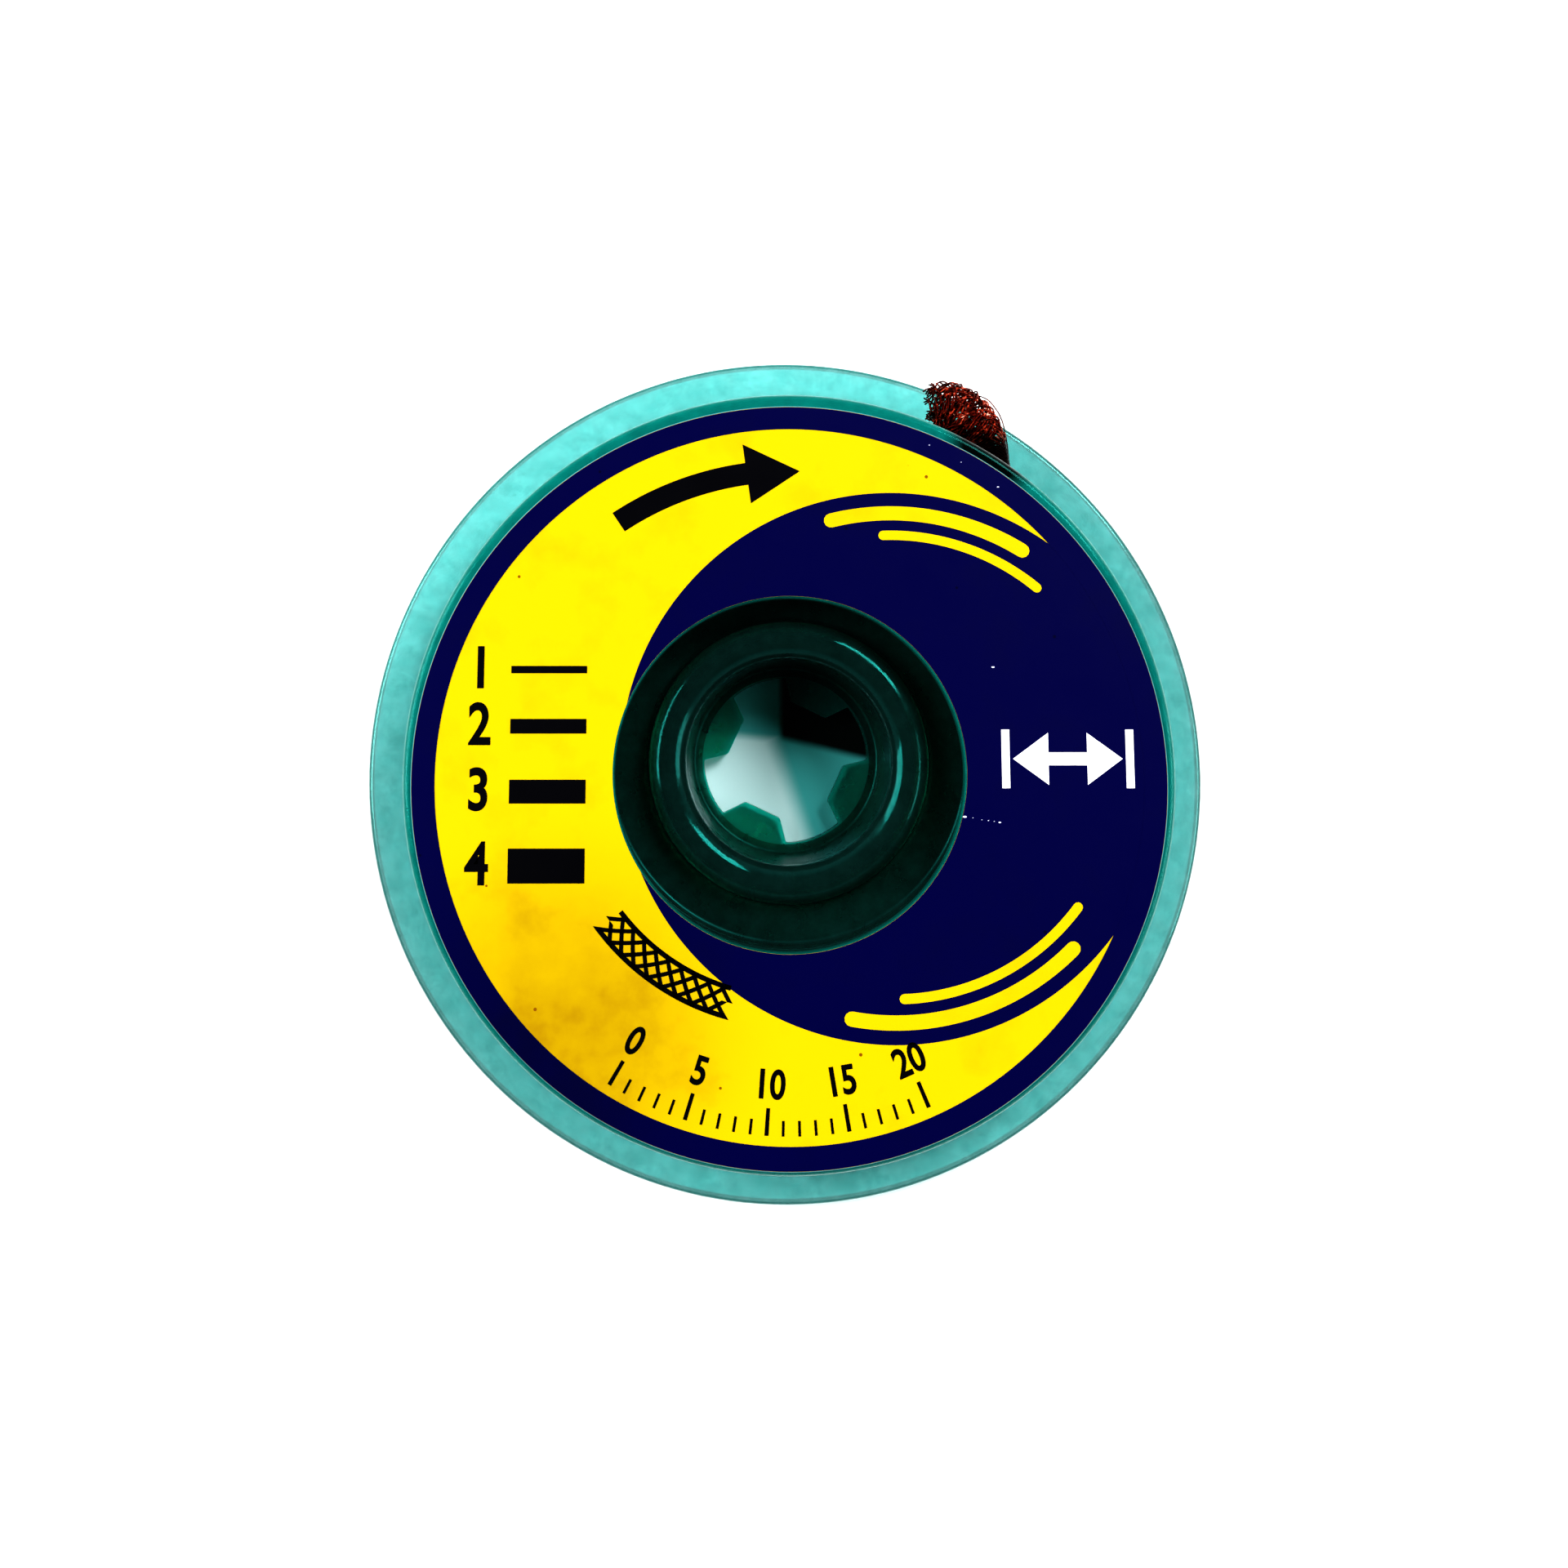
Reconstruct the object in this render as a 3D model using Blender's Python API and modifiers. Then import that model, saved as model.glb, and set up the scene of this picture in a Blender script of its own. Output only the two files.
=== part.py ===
"""Desoldering braid on its dispenser bobbin, lying on its back.

A moulded two-part case (cup and flanged back plate) holds a reel that turns on
an axis just off the case's centre. Flat copper braid is wound on the reel and
leaves through a notch in the cup's side wall. A round printed label covers the
cup's face.
Units are metres, +Z is up, and the origin is the centre of the back face.
"""

import math

import bmesh
import bpy

MM = 0.001

# Clearances
SEAT_GAP = 0.3 * MM
TURNING_GAP = 0.3 * MM
LABEL_GAP = 0.2 * MM

# Back plate
FLANGE_RADIUS = 28.0 * MM
FLANGE_THICKNESS = 1.4 * MM
FLANGE_EDGE = 0.3 * MM
SPIGOT_THICKNESS = 1.0 * MM
SPIGOT_HEIGHT = 1.3 * MM

# Cup
DRUM_HEIGHT = 7.6 * MM
DRUM_TOP_RADIUS = 23.9 * MM
DRUM_BASE_RADIUS = 25.6 * MM
DRUM_WALL = 1.2 * MM
FACE_THICKNESS = 1.2 * MM
FACE_HOLE_RADIUS = 10.9 * MM
DRUM_EDGE = 0.45 * MM
HOLE_EDGE = 0.3 * MM

# Notch where the braid leaves
NOTCH_ANGLE = math.radians(56.5)
NOTCH_WIDTH = 4.4 * MM
NOTCH_HEIGHT = 6.5 * MM
NOTCH_CORNER = 0.5 * MM

# Label
LABEL_RADIUS = 23.4 * MM
LABEL_MARGIN = 0.2 * MM
LABEL_THICKNESS = 0.15 * MM
LABEL_OFFSET_Y = -0.15 * MM

# Reel
REEL_FLANGE_RADIUS = 20.5 * MM
REEL_FLANGE_THICKNESS = 0.6 * MM
CORE_RADIUS = 12.7 * MM
CORE_WALL = 1.2 * MM
HUB_BORE_RADIUS = 6.5 * MM
HUB_WALL = 1.5 * MM
HUB_DRAFT = 0.3 * MM
LIP_WIDTH = 2.5 * MM
LIP_CROWN = 1.1 * MM
LIP_DEPTH = 1.4 * MM
GROOVE_DEPTH = 3.0 * MM
WEB_THICKNESS = 0.8 * MM
HUB_FLOOR = 1.0 * MM
# The reel is loose in its bearing and lies this far off the case's centre.
REEL_OFFSET_Y = 0.7 * MM

# Star-shaped opening in the hub's floor
STAR_RADIUS = 5.5 * MM
PETAL_REACH = 3.9 * MM
PETAL_COUNT = 4
PETAL_FIRST_ANGLE = math.radians(65)
PETAL_TIP_SPREAD = math.radians(19)
PETAL_ROOT_SPREAD = math.radians(25)

# Braid
BRAID_WIDTH = 2.0 * MM
BRAID_THICKNESS = 0.9 * MM
COIL_LAYERS = 8
COIL_LAYER_PITCH = 0.66 * MM
COIL_FILES = 2
TURN_GROOVE = 0.2 * MM
TAIL_WIDTH = 2.3 * MM

# Facets around the axis
WIDE_STEPS = 72
HUB_STEPS = 48

# Levels and radii that follow from the sizes above
CUP_RIM_Z = FLANGE_THICKNESS + SEAT_GAP
FACE_Z = FLANGE_THICKNESS + DRUM_HEIGHT
FACE_UNDERSIDE_Z = FACE_Z - FACE_THICKNESS
REEL_BASE_Z = FLANGE_THICKNESS + TURNING_GAP
REEL_TOP_Z = FACE_UNDERSIDE_Z - TURNING_GAP
CHANNEL_LOW_Z = REEL_BASE_Z + REEL_FLANGE_THICKNESS
CHANNEL_HIGH_Z = REEL_TOP_Z - REEL_FLANGE_THICKNESS
COIL_MID_Z = (CHANNEL_LOW_Z + CHANNEL_HIGH_Z) / 2
COIL_HALF_WIDTH = COIL_FILES * BRAID_WIDTH / 2
COIL_INNER_RADIUS = CORE_RADIUS + SEAT_GAP
COIL_OUTER_RADIUS = COIL_INNER_RADIUS + COIL_LAYERS * COIL_LAYER_PITCH
HUB_OUTER_RADIUS = HUB_BORE_RADIUS + HUB_WALL
BACK_HOLE_RADIUS = HUB_OUTER_RADIUS + TURNING_GAP + REEL_OFFSET_Y
LABEL_HOLE_RADIUS = FACE_HOLE_RADIUS + LABEL_MARGIN
DRUM_SLOPE = (DRUM_BASE_RADIUS - DRUM_TOP_RADIUS) / (FACE_Z - DRUM_EDGE - CUP_RIM_Z)

# The tail lies on a line that just clears the coil and ends in the notch's middle.
TAIL_LINE_RADIUS = COIL_OUTER_RADIUS + SEAT_GAP + BRAID_THICKNESS / 2


def drum_radius(height):
    """Outer radius of the cup's sloping wall at a height."""
    return DRUM_BASE_RADIUS - DRUM_SLOPE * (height - CUP_RIM_Z)


def clear_scene():
    for obj in list(bpy.data.objects):
        bpy.data.objects.remove(obj, do_unlink=True)


def new_collection(name):
    collection = bpy.data.collections.new(name)
    bpy.context.scene.collection.children.link(collection)
    return collection


def plastic(name, colour, roughness, alpha=1.0, metallic=0.0):
    material = bpy.data.materials.new(name)
    material.use_nodes = True
    shader = material.node_tree.nodes["Principled BSDF"]
    shader.inputs["Base Color"].default_value = (*colour, 1.0)
    shader.inputs["Roughness"].default_value = roughness
    shader.inputs["Metallic"].default_value = metallic
    shader.inputs["Alpha"].default_value = alpha
    return material


def arc(centre, radii, start, end, steps):
    """Points of an elliptic arc in the profile's plane, from start to end in degrees."""
    points = []
    for step in range(steps + 1):
        angle = math.radians(start + (end - start) * step / steps)
        points.append((centre[0] + radii[0] * math.cos(angle), centre[1] + radii[1] * math.sin(angle)))
    return points


def turned(name, profile, steps, collection, material):
    """Solid of revolution about Z from a closed profile of (radius, height) points."""
    mesh = bpy.data.meshes.new(name)
    count = len(profile)
    vertices = [(radius, 0.0, height) for radius, height in profile]
    edges = [(index, (index + 1) % count) for index in range(count)]
    mesh.from_pydata(vertices, edges, [])
    obj = bpy.data.objects.new(name, mesh)
    collection.objects.link(obj)
    screw = obj.modifiers.new("Turn", "SCREW")
    screw.steps = steps
    screw.render_steps = steps
    screw.use_merge_vertices = True
    screw.merge_threshold = 0.01 * MM
    screw.use_smooth_shade = True
    mesh.materials.append(material)
    return obj


def back_plate(collection, material):
    """Flanged disc with the reel's bearing hole and a low ring that centres the cup."""
    spigot_top = FLANGE_THICKNESS + SPIGOT_HEIGHT
    spigot_outer = drum_radius(spigot_top) - DRUM_WALL - SEAT_GAP
    spigot_inner = spigot_outer - SPIGOT_THICKNESS
    upper_edge = (FLANGE_RADIUS - FLANGE_EDGE, FLANGE_THICKNESS - FLANGE_EDGE)
    lower_edge = (FLANGE_RADIUS - FLANGE_EDGE, FLANGE_EDGE)
    profile = arc(upper_edge, (FLANGE_EDGE, FLANGE_EDGE), 90, 0, 3)
    profile += arc(lower_edge, (FLANGE_EDGE, FLANGE_EDGE), 0, -90, 3)
    profile += [
        (BACK_HOLE_RADIUS, 0.0),
        (BACK_HOLE_RADIUS, FLANGE_THICKNESS),
        (spigot_inner, FLANGE_THICKNESS),
        (spigot_inner, spigot_top),
        (spigot_outer, spigot_top),
        (spigot_outer, FLANGE_THICKNESS),
    ]
    return turned("case_back", profile, WIDE_STEPS, collection, material)


def notch_cutter(collection):
    """Rounded block that cuts the braid's way out through the cup's wall, up from its rim."""
    bpy.ops.mesh.primitive_cube_add(size=1.0)
    block = bpy.context.object
    block.name = "notch_cutter"
    for owner in list(block.users_collection):
        owner.objects.unlink(block)
    collection.objects.link(block)
    # Deep enough to pass through the sloping wall with a wall's thickness to spare on each side.
    depth = 4 * DRUM_WALL + (DRUM_BASE_RADIUS - DRUM_TOP_RADIUS)
    middle = (DRUM_BASE_RADIUS + DRUM_TOP_RADIUS - DRUM_WALL) / 2
    height = 2 * NOTCH_HEIGHT
    for vertex in block.data.vertices:
        vertex.co.x *= depth
        vertex.co.y *= NOTCH_WIDTH
        vertex.co.z *= height
    block.location = (middle * math.cos(NOTCH_ANGLE), middle * math.sin(NOTCH_ANGLE), CUP_RIM_Z)
    block.rotation_euler = (0.0, 0.0, NOTCH_ANGLE)
    bevel = block.modifiers.new("Corners", "BEVEL")
    bevel.width = NOTCH_CORNER
    bevel.segments = 3
    block.hide_render = True
    block.display_type = "WIRE"
    return block


def cup(collection, cutters, material):
    """Front of the case: a face with the reel's hole and a sloping wall with the braid's notch."""
    rim_edge = (DRUM_TOP_RADIUS - DRUM_EDGE, FACE_Z - DRUM_EDGE)
    hole_edge = (FACE_HOLE_RADIUS + HOLE_EDGE, FACE_Z - HOLE_EDGE)
    profile = arc(hole_edge, (HOLE_EDGE, HOLE_EDGE), 180, 90, 3)
    profile += arc(rim_edge, (DRUM_EDGE, DRUM_EDGE), 90, 0, 3)
    profile += [
        (DRUM_BASE_RADIUS, CUP_RIM_Z),
        (DRUM_BASE_RADIUS - DRUM_WALL, CUP_RIM_Z),
        (drum_radius(FACE_UNDERSIDE_Z) - DRUM_WALL, FACE_UNDERSIDE_Z),
        (FACE_HOLE_RADIUS, FACE_UNDERSIDE_Z),
    ]
    obj = turned("case_front", profile, WIDE_STEPS, collection, material)
    cut = obj.modifiers.new("Braid notch", "BOOLEAN")
    cut.operation = "DIFFERENCE"
    cut.object = notch_cutter(cutters)
    return obj


def label(collection, material):
    """Thin printed ring stuck on the cup's face, a little below its centre."""
    low = FACE_Z + LABEL_GAP
    high = low + LABEL_THICKNESS
    profile = [
        (LABEL_HOLE_RADIUS, high),
        (LABEL_RADIUS, high),
        (LABEL_RADIUS, low),
        (LABEL_HOLE_RADIUS, low),
    ]
    obj = turned("label", profile, WIDE_STEPS, collection, material)
    obj.location.y = LABEL_OFFSET_Y
    return obj


def star_cutter(collection):
    """Prism that leaves four inward petals in the hub's floor."""
    arc_steps = 4
    outline = []
    for petal in range(PETAL_COUNT):
        middle = PETAL_FIRST_ANGLE + petal * math.tau / PETAL_COUNT
        next_root = middle + math.tau / PETAL_COUNT - PETAL_ROOT_SPREAD
        outline.append((PETAL_REACH, middle - PETAL_TIP_SPREAD))
        outline.append((PETAL_REACH, middle + PETAL_TIP_SPREAD))
        for step in range(arc_steps + 1):
            this_root = middle + PETAL_ROOT_SPREAD
            outline.append((STAR_RADIUS, this_root + (next_root - this_root) * step / arc_steps))
    low = -HUB_FLOOR
    work = bmesh.new()
    corners = [work.verts.new((radius * math.cos(a), radius * math.sin(a), low)) for radius, a in outline]
    work.faces.new(corners)
    lifted = bmesh.ops.extrude_face_region(work, geom=work.faces[:])
    moved = [item for item in lifted["geom"] if isinstance(item, bmesh.types.BMVert)]
    bmesh.ops.translate(work, verts=moved, vec=(0.0, 0.0, FACE_Z - low))
    bmesh.ops.recalc_face_normals(work, faces=work.faces[:])
    mesh = bpy.data.meshes.new("star_cutter")
    work.to_mesh(mesh)
    work.free()
    obj = bpy.data.objects.new("star_cutter", mesh)
    obj.location.y = REEL_OFFSET_Y
    collection.objects.link(obj)
    obj.hide_render = True
    obj.display_type = "WIRE"
    return obj


def reel(collection, cutters, material):
    """Turning reel: hub with a rounded lip and a petalled floor, winding core and two thin flanges."""
    lip_base_z = FACE_Z - LIP_DEPTH - LIP_CROWN
    lip_middle = HUB_BORE_RADIUS + LIP_WIDTH / 2
    groove_z = FACE_Z - GROOVE_DEPTH
    web_z = groove_z - WEB_THICKNESS
    journal_low = SEAT_GAP
    floor_z = journal_low + HUB_FLOOR
    pilot_radius = PETAL_REACH / 2
    profile = arc((lip_middle, lip_base_z), (LIP_WIDTH / 2, LIP_CROWN), 180, 0, 8)
    profile += [
        (lip_middle + LIP_WIDTH / 2, groove_z),
        (CORE_RADIUS - CORE_WALL, groove_z),
        (CORE_RADIUS - CORE_WALL, REEL_TOP_Z),
        (REEL_FLANGE_RADIUS, REEL_TOP_Z),
        (REEL_FLANGE_RADIUS, CHANNEL_HIGH_Z),
        (CORE_RADIUS, CHANNEL_HIGH_Z),
        (CORE_RADIUS, CHANNEL_LOW_Z),
        (REEL_FLANGE_RADIUS, CHANNEL_LOW_Z),
        (REEL_FLANGE_RADIUS, REEL_BASE_Z),
        (CORE_RADIUS - CORE_WALL, REEL_BASE_Z),
        (CORE_RADIUS - CORE_WALL, web_z),
        (HUB_OUTER_RADIUS, web_z),
        (HUB_OUTER_RADIUS, journal_low),
        (pilot_radius, journal_low),
        (pilot_radius, floor_z),
        (HUB_BORE_RADIUS - HUB_DRAFT, floor_z),
    ]
    obj = turned("reel", profile, HUB_STEPS, collection, material)
    obj.location.y = REEL_OFFSET_Y
    cut = obj.modifiers.new("Star opening", "BOOLEAN")
    cut.operation = "DIFFERENCE"
    cut.object = star_cutter(cutters)
    return obj


def braid_coil(collection, material):
    """The wound braid as one ring, with each layer as a ridge on its ends and each file on its side."""
    high = COIL_MID_Z + COIL_HALF_WIDTH
    low = COIL_MID_Z - COIL_HALF_WIDTH
    layer_radii = [COIL_INNER_RADIUS + layer * COIL_LAYER_PITCH for layer in range(COIL_LAYERS + 1)]
    profile = []
    for inner, outer in zip(layer_radii, layer_radii[1:]):
        profile.append((inner, high - TURN_GROOVE))
        profile.append(((inner + outer) / 2, high))
    profile.append((COIL_OUTER_RADIUS, high - TURN_GROOVE))
    for file_end in range(1, COIL_FILES):
        profile.append((COIL_OUTER_RADIUS - TURN_GROOVE, high - file_end * BRAID_WIDTH))
    profile.append((COIL_OUTER_RADIUS, low + TURN_GROOVE))
    for outer, inner in zip(layer_radii[::-1], layer_radii[-2::-1]):
        profile.append(((inner + outer) / 2, low))
        profile.append((inner, low + TURN_GROOVE))
    obj = turned("braid_coil", profile, HUB_STEPS, collection, material)
    obj.location.y = REEL_OFFSET_Y
    return obj


def ribbon_section(collection):
    """Flat oval outline of the braid, as the tail's bevel profile."""
    curve = bpy.data.curves.new("ribbon_section", "CURVE")
    curve.dimensions = "2D"
    spline = curve.splines.new("POLY")
    sides = 12
    last_angle = 360 / sides - 360
    spline.points.add(sides - 1)
    for index, (x, y) in enumerate(arc((0.0, 0.0), (TAIL_WIDTH / 2, BRAID_THICKNESS / 2), 0, last_angle, sides - 1)):
        spline.points[index].co = (x, y, 0.0, 1.0)
    spline.use_cyclic_u = True
    obj = bpy.data.objects.new("ribbon_section", curve)
    collection.objects.link(obj)
    obj.hide_render = True
    obj.display_type = "WIRE"
    return obj


def braid_tail(collection, cutters, material):
    """Loose end: straight off the coil to the notch, turning flat, then bent along the wall to a frayed end."""
    exit_radius = drum_radius(COIL_MID_Z) - DRUM_WALL / 2
    exit_x = exit_radius * math.cos(NOTCH_ANGLE)
    exit_y = exit_radius * math.sin(NOTCH_ANGLE) - REEL_OFFSET_Y
    exit_distance = math.hypot(exit_x, exit_y)
    swing = math.acos(TAIL_LINE_RADIUS / exit_distance)
    start = math.atan2(exit_y, exit_x) - swing
    run = exit_distance * math.sin(swing)
    line_start = (TAIL_LINE_RADIUS * math.cos(start), TAIL_LINE_RADIUS * math.sin(start) + REEL_OFFSET_Y)
    heading = (-math.sin(start), math.cos(start))
    # Each row is a share of the straight run, the level and the twist from edge-on in degrees.
    inside = [
        (0.0, COIL_MID_Z, 0),
        (0.35, COIL_MID_Z, 8),
        (0.7, COIL_MID_Z, 25),
        (1.0, COIL_MID_Z, 45),
    ]
    # Each row is the distance outside the wall, the angle past the notch, the level, the twist and the scale.
    outside = [
        (1.0 * MM, 2.6, COIL_MID_Z + 0.1 * MM, 60, 1.0),
        (1.4 * MM, 5.6, COIL_MID_Z - 0.1 * MM, 72, 1.0),
        (1.4 * MM, 8.8, COIL_MID_Z - 0.4 * MM, 78, 0.95),
        (1.15 * MM, 12.0, COIL_MID_Z - 0.9 * MM, 80, 0.8),
    ]
    rows = []
    for share, level, twist in inside:
        x = line_start[0] + heading[0] * run * share
        y = line_start[1] + heading[1] * run * share
        rows.append((x, y, level, twist, 1.0))
    for distance, past, level, twist, scale in outside:
        angle = NOTCH_ANGLE + math.radians(past)
        radius = drum_radius(level) + distance
        rows.append((radius * math.cos(angle), radius * math.sin(angle), level, twist, scale))
    curve = bpy.data.curves.new("braid_tail", "CURVE")
    curve.dimensions = "3D"
    curve.twist_mode = "Z_UP"
    curve.resolution_u = 4
    spline = curve.splines.new("BEZIER")
    spline.bezier_points.add(len(rows) - 1)
    for point, (x, y, level, twist, scale) in zip(spline.bezier_points, rows):
        point.co = (x, y, level)
        point.handle_left_type = "AUTO"
        point.handle_right_type = "AUTO"
        point.tilt = math.radians(90 - twist)
        point.radius = scale
    curve.bevel_mode = "OBJECT"
    curve.bevel_object = ribbon_section(cutters)
    curve.use_fill_caps = True
    curve.materials.append(material)
    obj = bpy.data.objects.new("braid_tail", curve)
    collection.objects.link(obj)
    return obj


def build():
    clear_scene()
    parts = new_collection("desoldering_braid")
    cutters = new_collection("cutters")
    case_plastic = plastic("translucent_teal_plastic", (0.05, 0.52, 0.46), 0.22, alpha=0.75)
    reel_plastic = plastic("dark_teal_plastic", (0.01, 0.2, 0.17), 0.2, alpha=0.85)
    label_film = plastic("printed_label_film", (0.9, 0.8, 0.02), 0.35)
    copper = plastic("fluxed_copper_braid", (0.42, 0.12, 0.05), 0.45, metallic=1.0)
    back_plate(parts, case_plastic)
    cup(parts, cutters, case_plastic)
    label(parts, label_film)
    reel(parts, cutters, reel_plastic)
    braid_coil(parts, copper)
    braid_tail(parts, cutters, copper)


build()
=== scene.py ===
"""Looks of a reel of desoldering braid in its round case, lying on its back on a white table."""
import math
import random

import bmesh
import bpy
from mathutils import Matrix, Vector, noise


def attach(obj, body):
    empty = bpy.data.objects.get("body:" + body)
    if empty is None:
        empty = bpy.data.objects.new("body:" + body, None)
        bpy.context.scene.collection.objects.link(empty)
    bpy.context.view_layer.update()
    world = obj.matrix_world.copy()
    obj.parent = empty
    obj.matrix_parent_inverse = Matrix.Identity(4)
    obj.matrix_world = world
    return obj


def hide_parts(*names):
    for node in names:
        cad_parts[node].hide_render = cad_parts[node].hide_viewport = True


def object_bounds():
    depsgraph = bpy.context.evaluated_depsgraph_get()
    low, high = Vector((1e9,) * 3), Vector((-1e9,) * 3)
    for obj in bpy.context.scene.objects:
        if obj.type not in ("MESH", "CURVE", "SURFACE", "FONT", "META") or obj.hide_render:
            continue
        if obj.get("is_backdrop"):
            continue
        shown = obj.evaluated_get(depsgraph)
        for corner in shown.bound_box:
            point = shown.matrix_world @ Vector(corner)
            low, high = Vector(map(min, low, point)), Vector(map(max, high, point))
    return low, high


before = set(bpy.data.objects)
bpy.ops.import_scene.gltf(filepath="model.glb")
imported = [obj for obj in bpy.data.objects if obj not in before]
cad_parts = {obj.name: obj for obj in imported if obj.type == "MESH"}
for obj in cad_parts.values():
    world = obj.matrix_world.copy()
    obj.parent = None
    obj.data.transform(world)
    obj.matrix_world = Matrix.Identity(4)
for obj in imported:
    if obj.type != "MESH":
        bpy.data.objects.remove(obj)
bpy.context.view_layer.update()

# Camera, where the photograph was taken from: above the label and tipped towards the top of the picture.
# A shift brings the case back to the middle. Both are needed, because the photograph shows the case's rings
# 2 % taller than wide and not concentric.
MM = 0.001
CAMERA_PLACE = (-3.17, 2.31, 99)
CAMERA_AIM = (-2.47, 13.03, 9)
camera_data = bpy.data.cameras.new("camera")
camera_data.sensor_width = 36
camera_data.lens = 33.03
camera_data.shift_x = 0.0217
camera_data.shift_y = -0.14
camera_data.clip_start = 10 * MM
camera_data.clip_end = 5
camera = bpy.data.objects.new("camera", camera_data)
camera.location = Vector(CAMERA_PLACE) * MM
camera_back = (camera.location - Vector(CAMERA_AIM) * MM).normalized()
camera_right = Vector((0, 1, 0)).cross(camera_back).normalized()
camera_up = camera_back.cross(camera_right)
camera.rotation_euler = Matrix((camera_right, camera_up, camera_back)).transposed().to_euler()
bpy.context.scene.collection.objects.link(camera)
bpy.context.scene.camera = camera


# Light of a small photo tent: pale walls, a darker top, and three soft boxes.
# The key box stands beyond the picture's top right corner, high enough to shine into the hub.
def colour(code):
    """Linear colour and full alpha of an sRGB hex code."""
    parts = [int(code[place : place + 2], 16) / 255 for place in (1, 3, 5)]
    return (*[part / 12.92 if part <= 0.04045 else ((part + 0.055) / 1.055) ** 2.4 for part in parts], 1)


def add(tree, kind, inputs=None, **settings):
    """Adds one node, sets it up, and gives each input its value or its link."""
    node = tree.nodes.new(kind)
    for name, value in settings.items():
        setattr(node, name, value)
    for name, value in (inputs or {}).items():
        if isinstance(value, bpy.types.NodeSocket):
            tree.links.new(value, node.inputs[name])
        else:
            node.inputs[name].default_value = value
    return node


def ramp_stops(node, stops):
    """Gives a colour ramp its stops, each a place from 0 to 1 and a hex colour."""
    marks = node.color_ramp.elements
    while len(marks) < len(stops):
        marks.new(0.5)
    for mark, (place, code) in zip(marks, stops):
        mark.position = place
        mark.color = colour(code)


# The photograph is a strongly lit, contrasty one, with its table all white and its darks deep.
bpy.context.scene.view_settings.view_transform = "Standard"
bpy.context.scene.view_settings.look = "High Contrast"
world = bpy.data.worlds.new("photo_tent")
world.use_nodes = True
bpy.context.scene.world = world
tree = world.node_tree
tree.nodes.clear()
direction = add(tree, "ShaderNodeTexCoord").outputs["Generated"]
height = add(tree, "ShaderNodeSeparateXYZ", {0: direction}).outputs["Z"]
tent = add(tree, "ShaderNodeValToRGB", {0: height})
ramp_stops(tent, [(0.0, "#F4F4F4"), (0.5, "#E0E0E0"), (0.72, "#3A3A3A"), (0.9, "#121212")])
walls = add(tree, "ShaderNodeBackground", {"Color": tent.outputs[0], "Strength": 0.93})
add(tree, "ShaderNodeOutputWorld", {"Surface": walls.outputs[0]})

# Each soft box's name, its place and its side in mm, and its power in watts.
SOFT_BOXES = [
    ("key_box", (262, 280, 370), 210, 2.15),
    ("left_box", (-405, 85, 260), 300, 2.8),
    ("right_box", (420, -60, 240), 240, 1.0),
]
for name, place, size, power in SOFT_BOXES:
    lamp = bpy.data.lights.new(name, "AREA")
    lamp.size = size * MM
    lamp.energy = power
    box = bpy.data.objects.new(name, lamp)
    box.location = Vector(place) * MM
    box.rotation_euler = (-box.location).to_track_quat("-Z", "Y").to_euler()
    bpy.context.scene.collection.objects.link(box)

# Table: matt white laminate, flat and even, so that only the case's shadow shows on it.
# Inside the hub it has the teal of light passed by the plastic, and a dark corner in the lip's shadow.
TABLE_REACH = 1500
TABLE_DROP = 0.02
REEL_Y = 0.7
SEEN_RADIUS = 6.4
table_mesh = bpy.data.meshes.new("table")
reach = TABLE_REACH * MM
corners = [(x * reach, y * reach, -TABLE_DROP * MM) for x, y in ((-1, -1), (1, -1), (1, 1), (-1, 1))]
table_mesh.from_pydata(corners, [], [(0, 1, 2, 3)])
table = bpy.data.objects.new("table", table_mesh)
bpy.context.scene.collection.objects.link(table)
laminate = bpy.data.materials.new("matt_white_laminate")
laminate.use_nodes = True
tree = laminate.node_tree
place = add(tree, "ShaderNodeTexCoord").outputs["Object"]
from_hub = add(tree, "ShaderNodeVectorMath", {0: place, 1: (0, REEL_Y * MM, 0)}, operation="DISTANCE")
inside = {0: from_hub.outputs["Value"], 1: SEEN_RADIUS * MM}
in_hub = add(tree, "ShaderNodeMath", inside, operation="LESS_THAN").outputs[0]


def past_line(tree, place, across, start, end):
    """Soft step from 0 to 1 as a point goes across a slanted line, between two distances in mm."""
    along = add(tree, "ShaderNodeVectorMath", {0: place, 1: across}, operation="DOT_PRODUCT").outputs["Value"]
    step = add(
        tree,
        "ShaderNodeMapRange",
        {"Value": along, "From Min": start * MM, "From Max": end * MM},
        interpolation_type="SMOOTHSTEP",
    )
    return step.outputs[0]


# To the right and the top only light through the plastic arrives, and in their corner almost none.
to_right = past_line(tree, place, (0.94, 0.33, 0), -0.9, 0.7)
to_top = past_line(tree, place, (0.1, 0.99, 0), 1.6, 2.4)
either = add(tree, "ShaderNodeMath", {0: to_right, 1: to_top}, operation="MAXIMUM").outputs[0]
teal_share = add(tree, "ShaderNodeMath", {0: either, 1: in_hub}, operation="MULTIPLY").outputs[0]
far_right = past_line(tree, place, (1, 0, 0), -0.6, 0)
far_top = past_line(tree, place, (0.24, 0.97, 0), 1.7, 2.4)
both = add(tree, "ShaderNodeMath", {0: far_right, 1: far_top}, operation="MULTIPLY").outputs[0]
dark_share = add(tree, "ShaderNodeMath", {0: both, 1: in_hub}, operation="MULTIPLY").outputs[0]
top = colour("#F8F8F8")
for share, tone in ((in_hub, "#DCFFFF"), (teal_share, "#58BEBC"), (dark_share, "#04100E")):
    mixed = add(tree, "ShaderNodeMix", {"Factor": share, "A": top, "B": colour(tone)}, data_type="RGBA")
    top = mixed.outputs["Result"]
surface = tree.nodes["Principled BSDF"]
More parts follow.
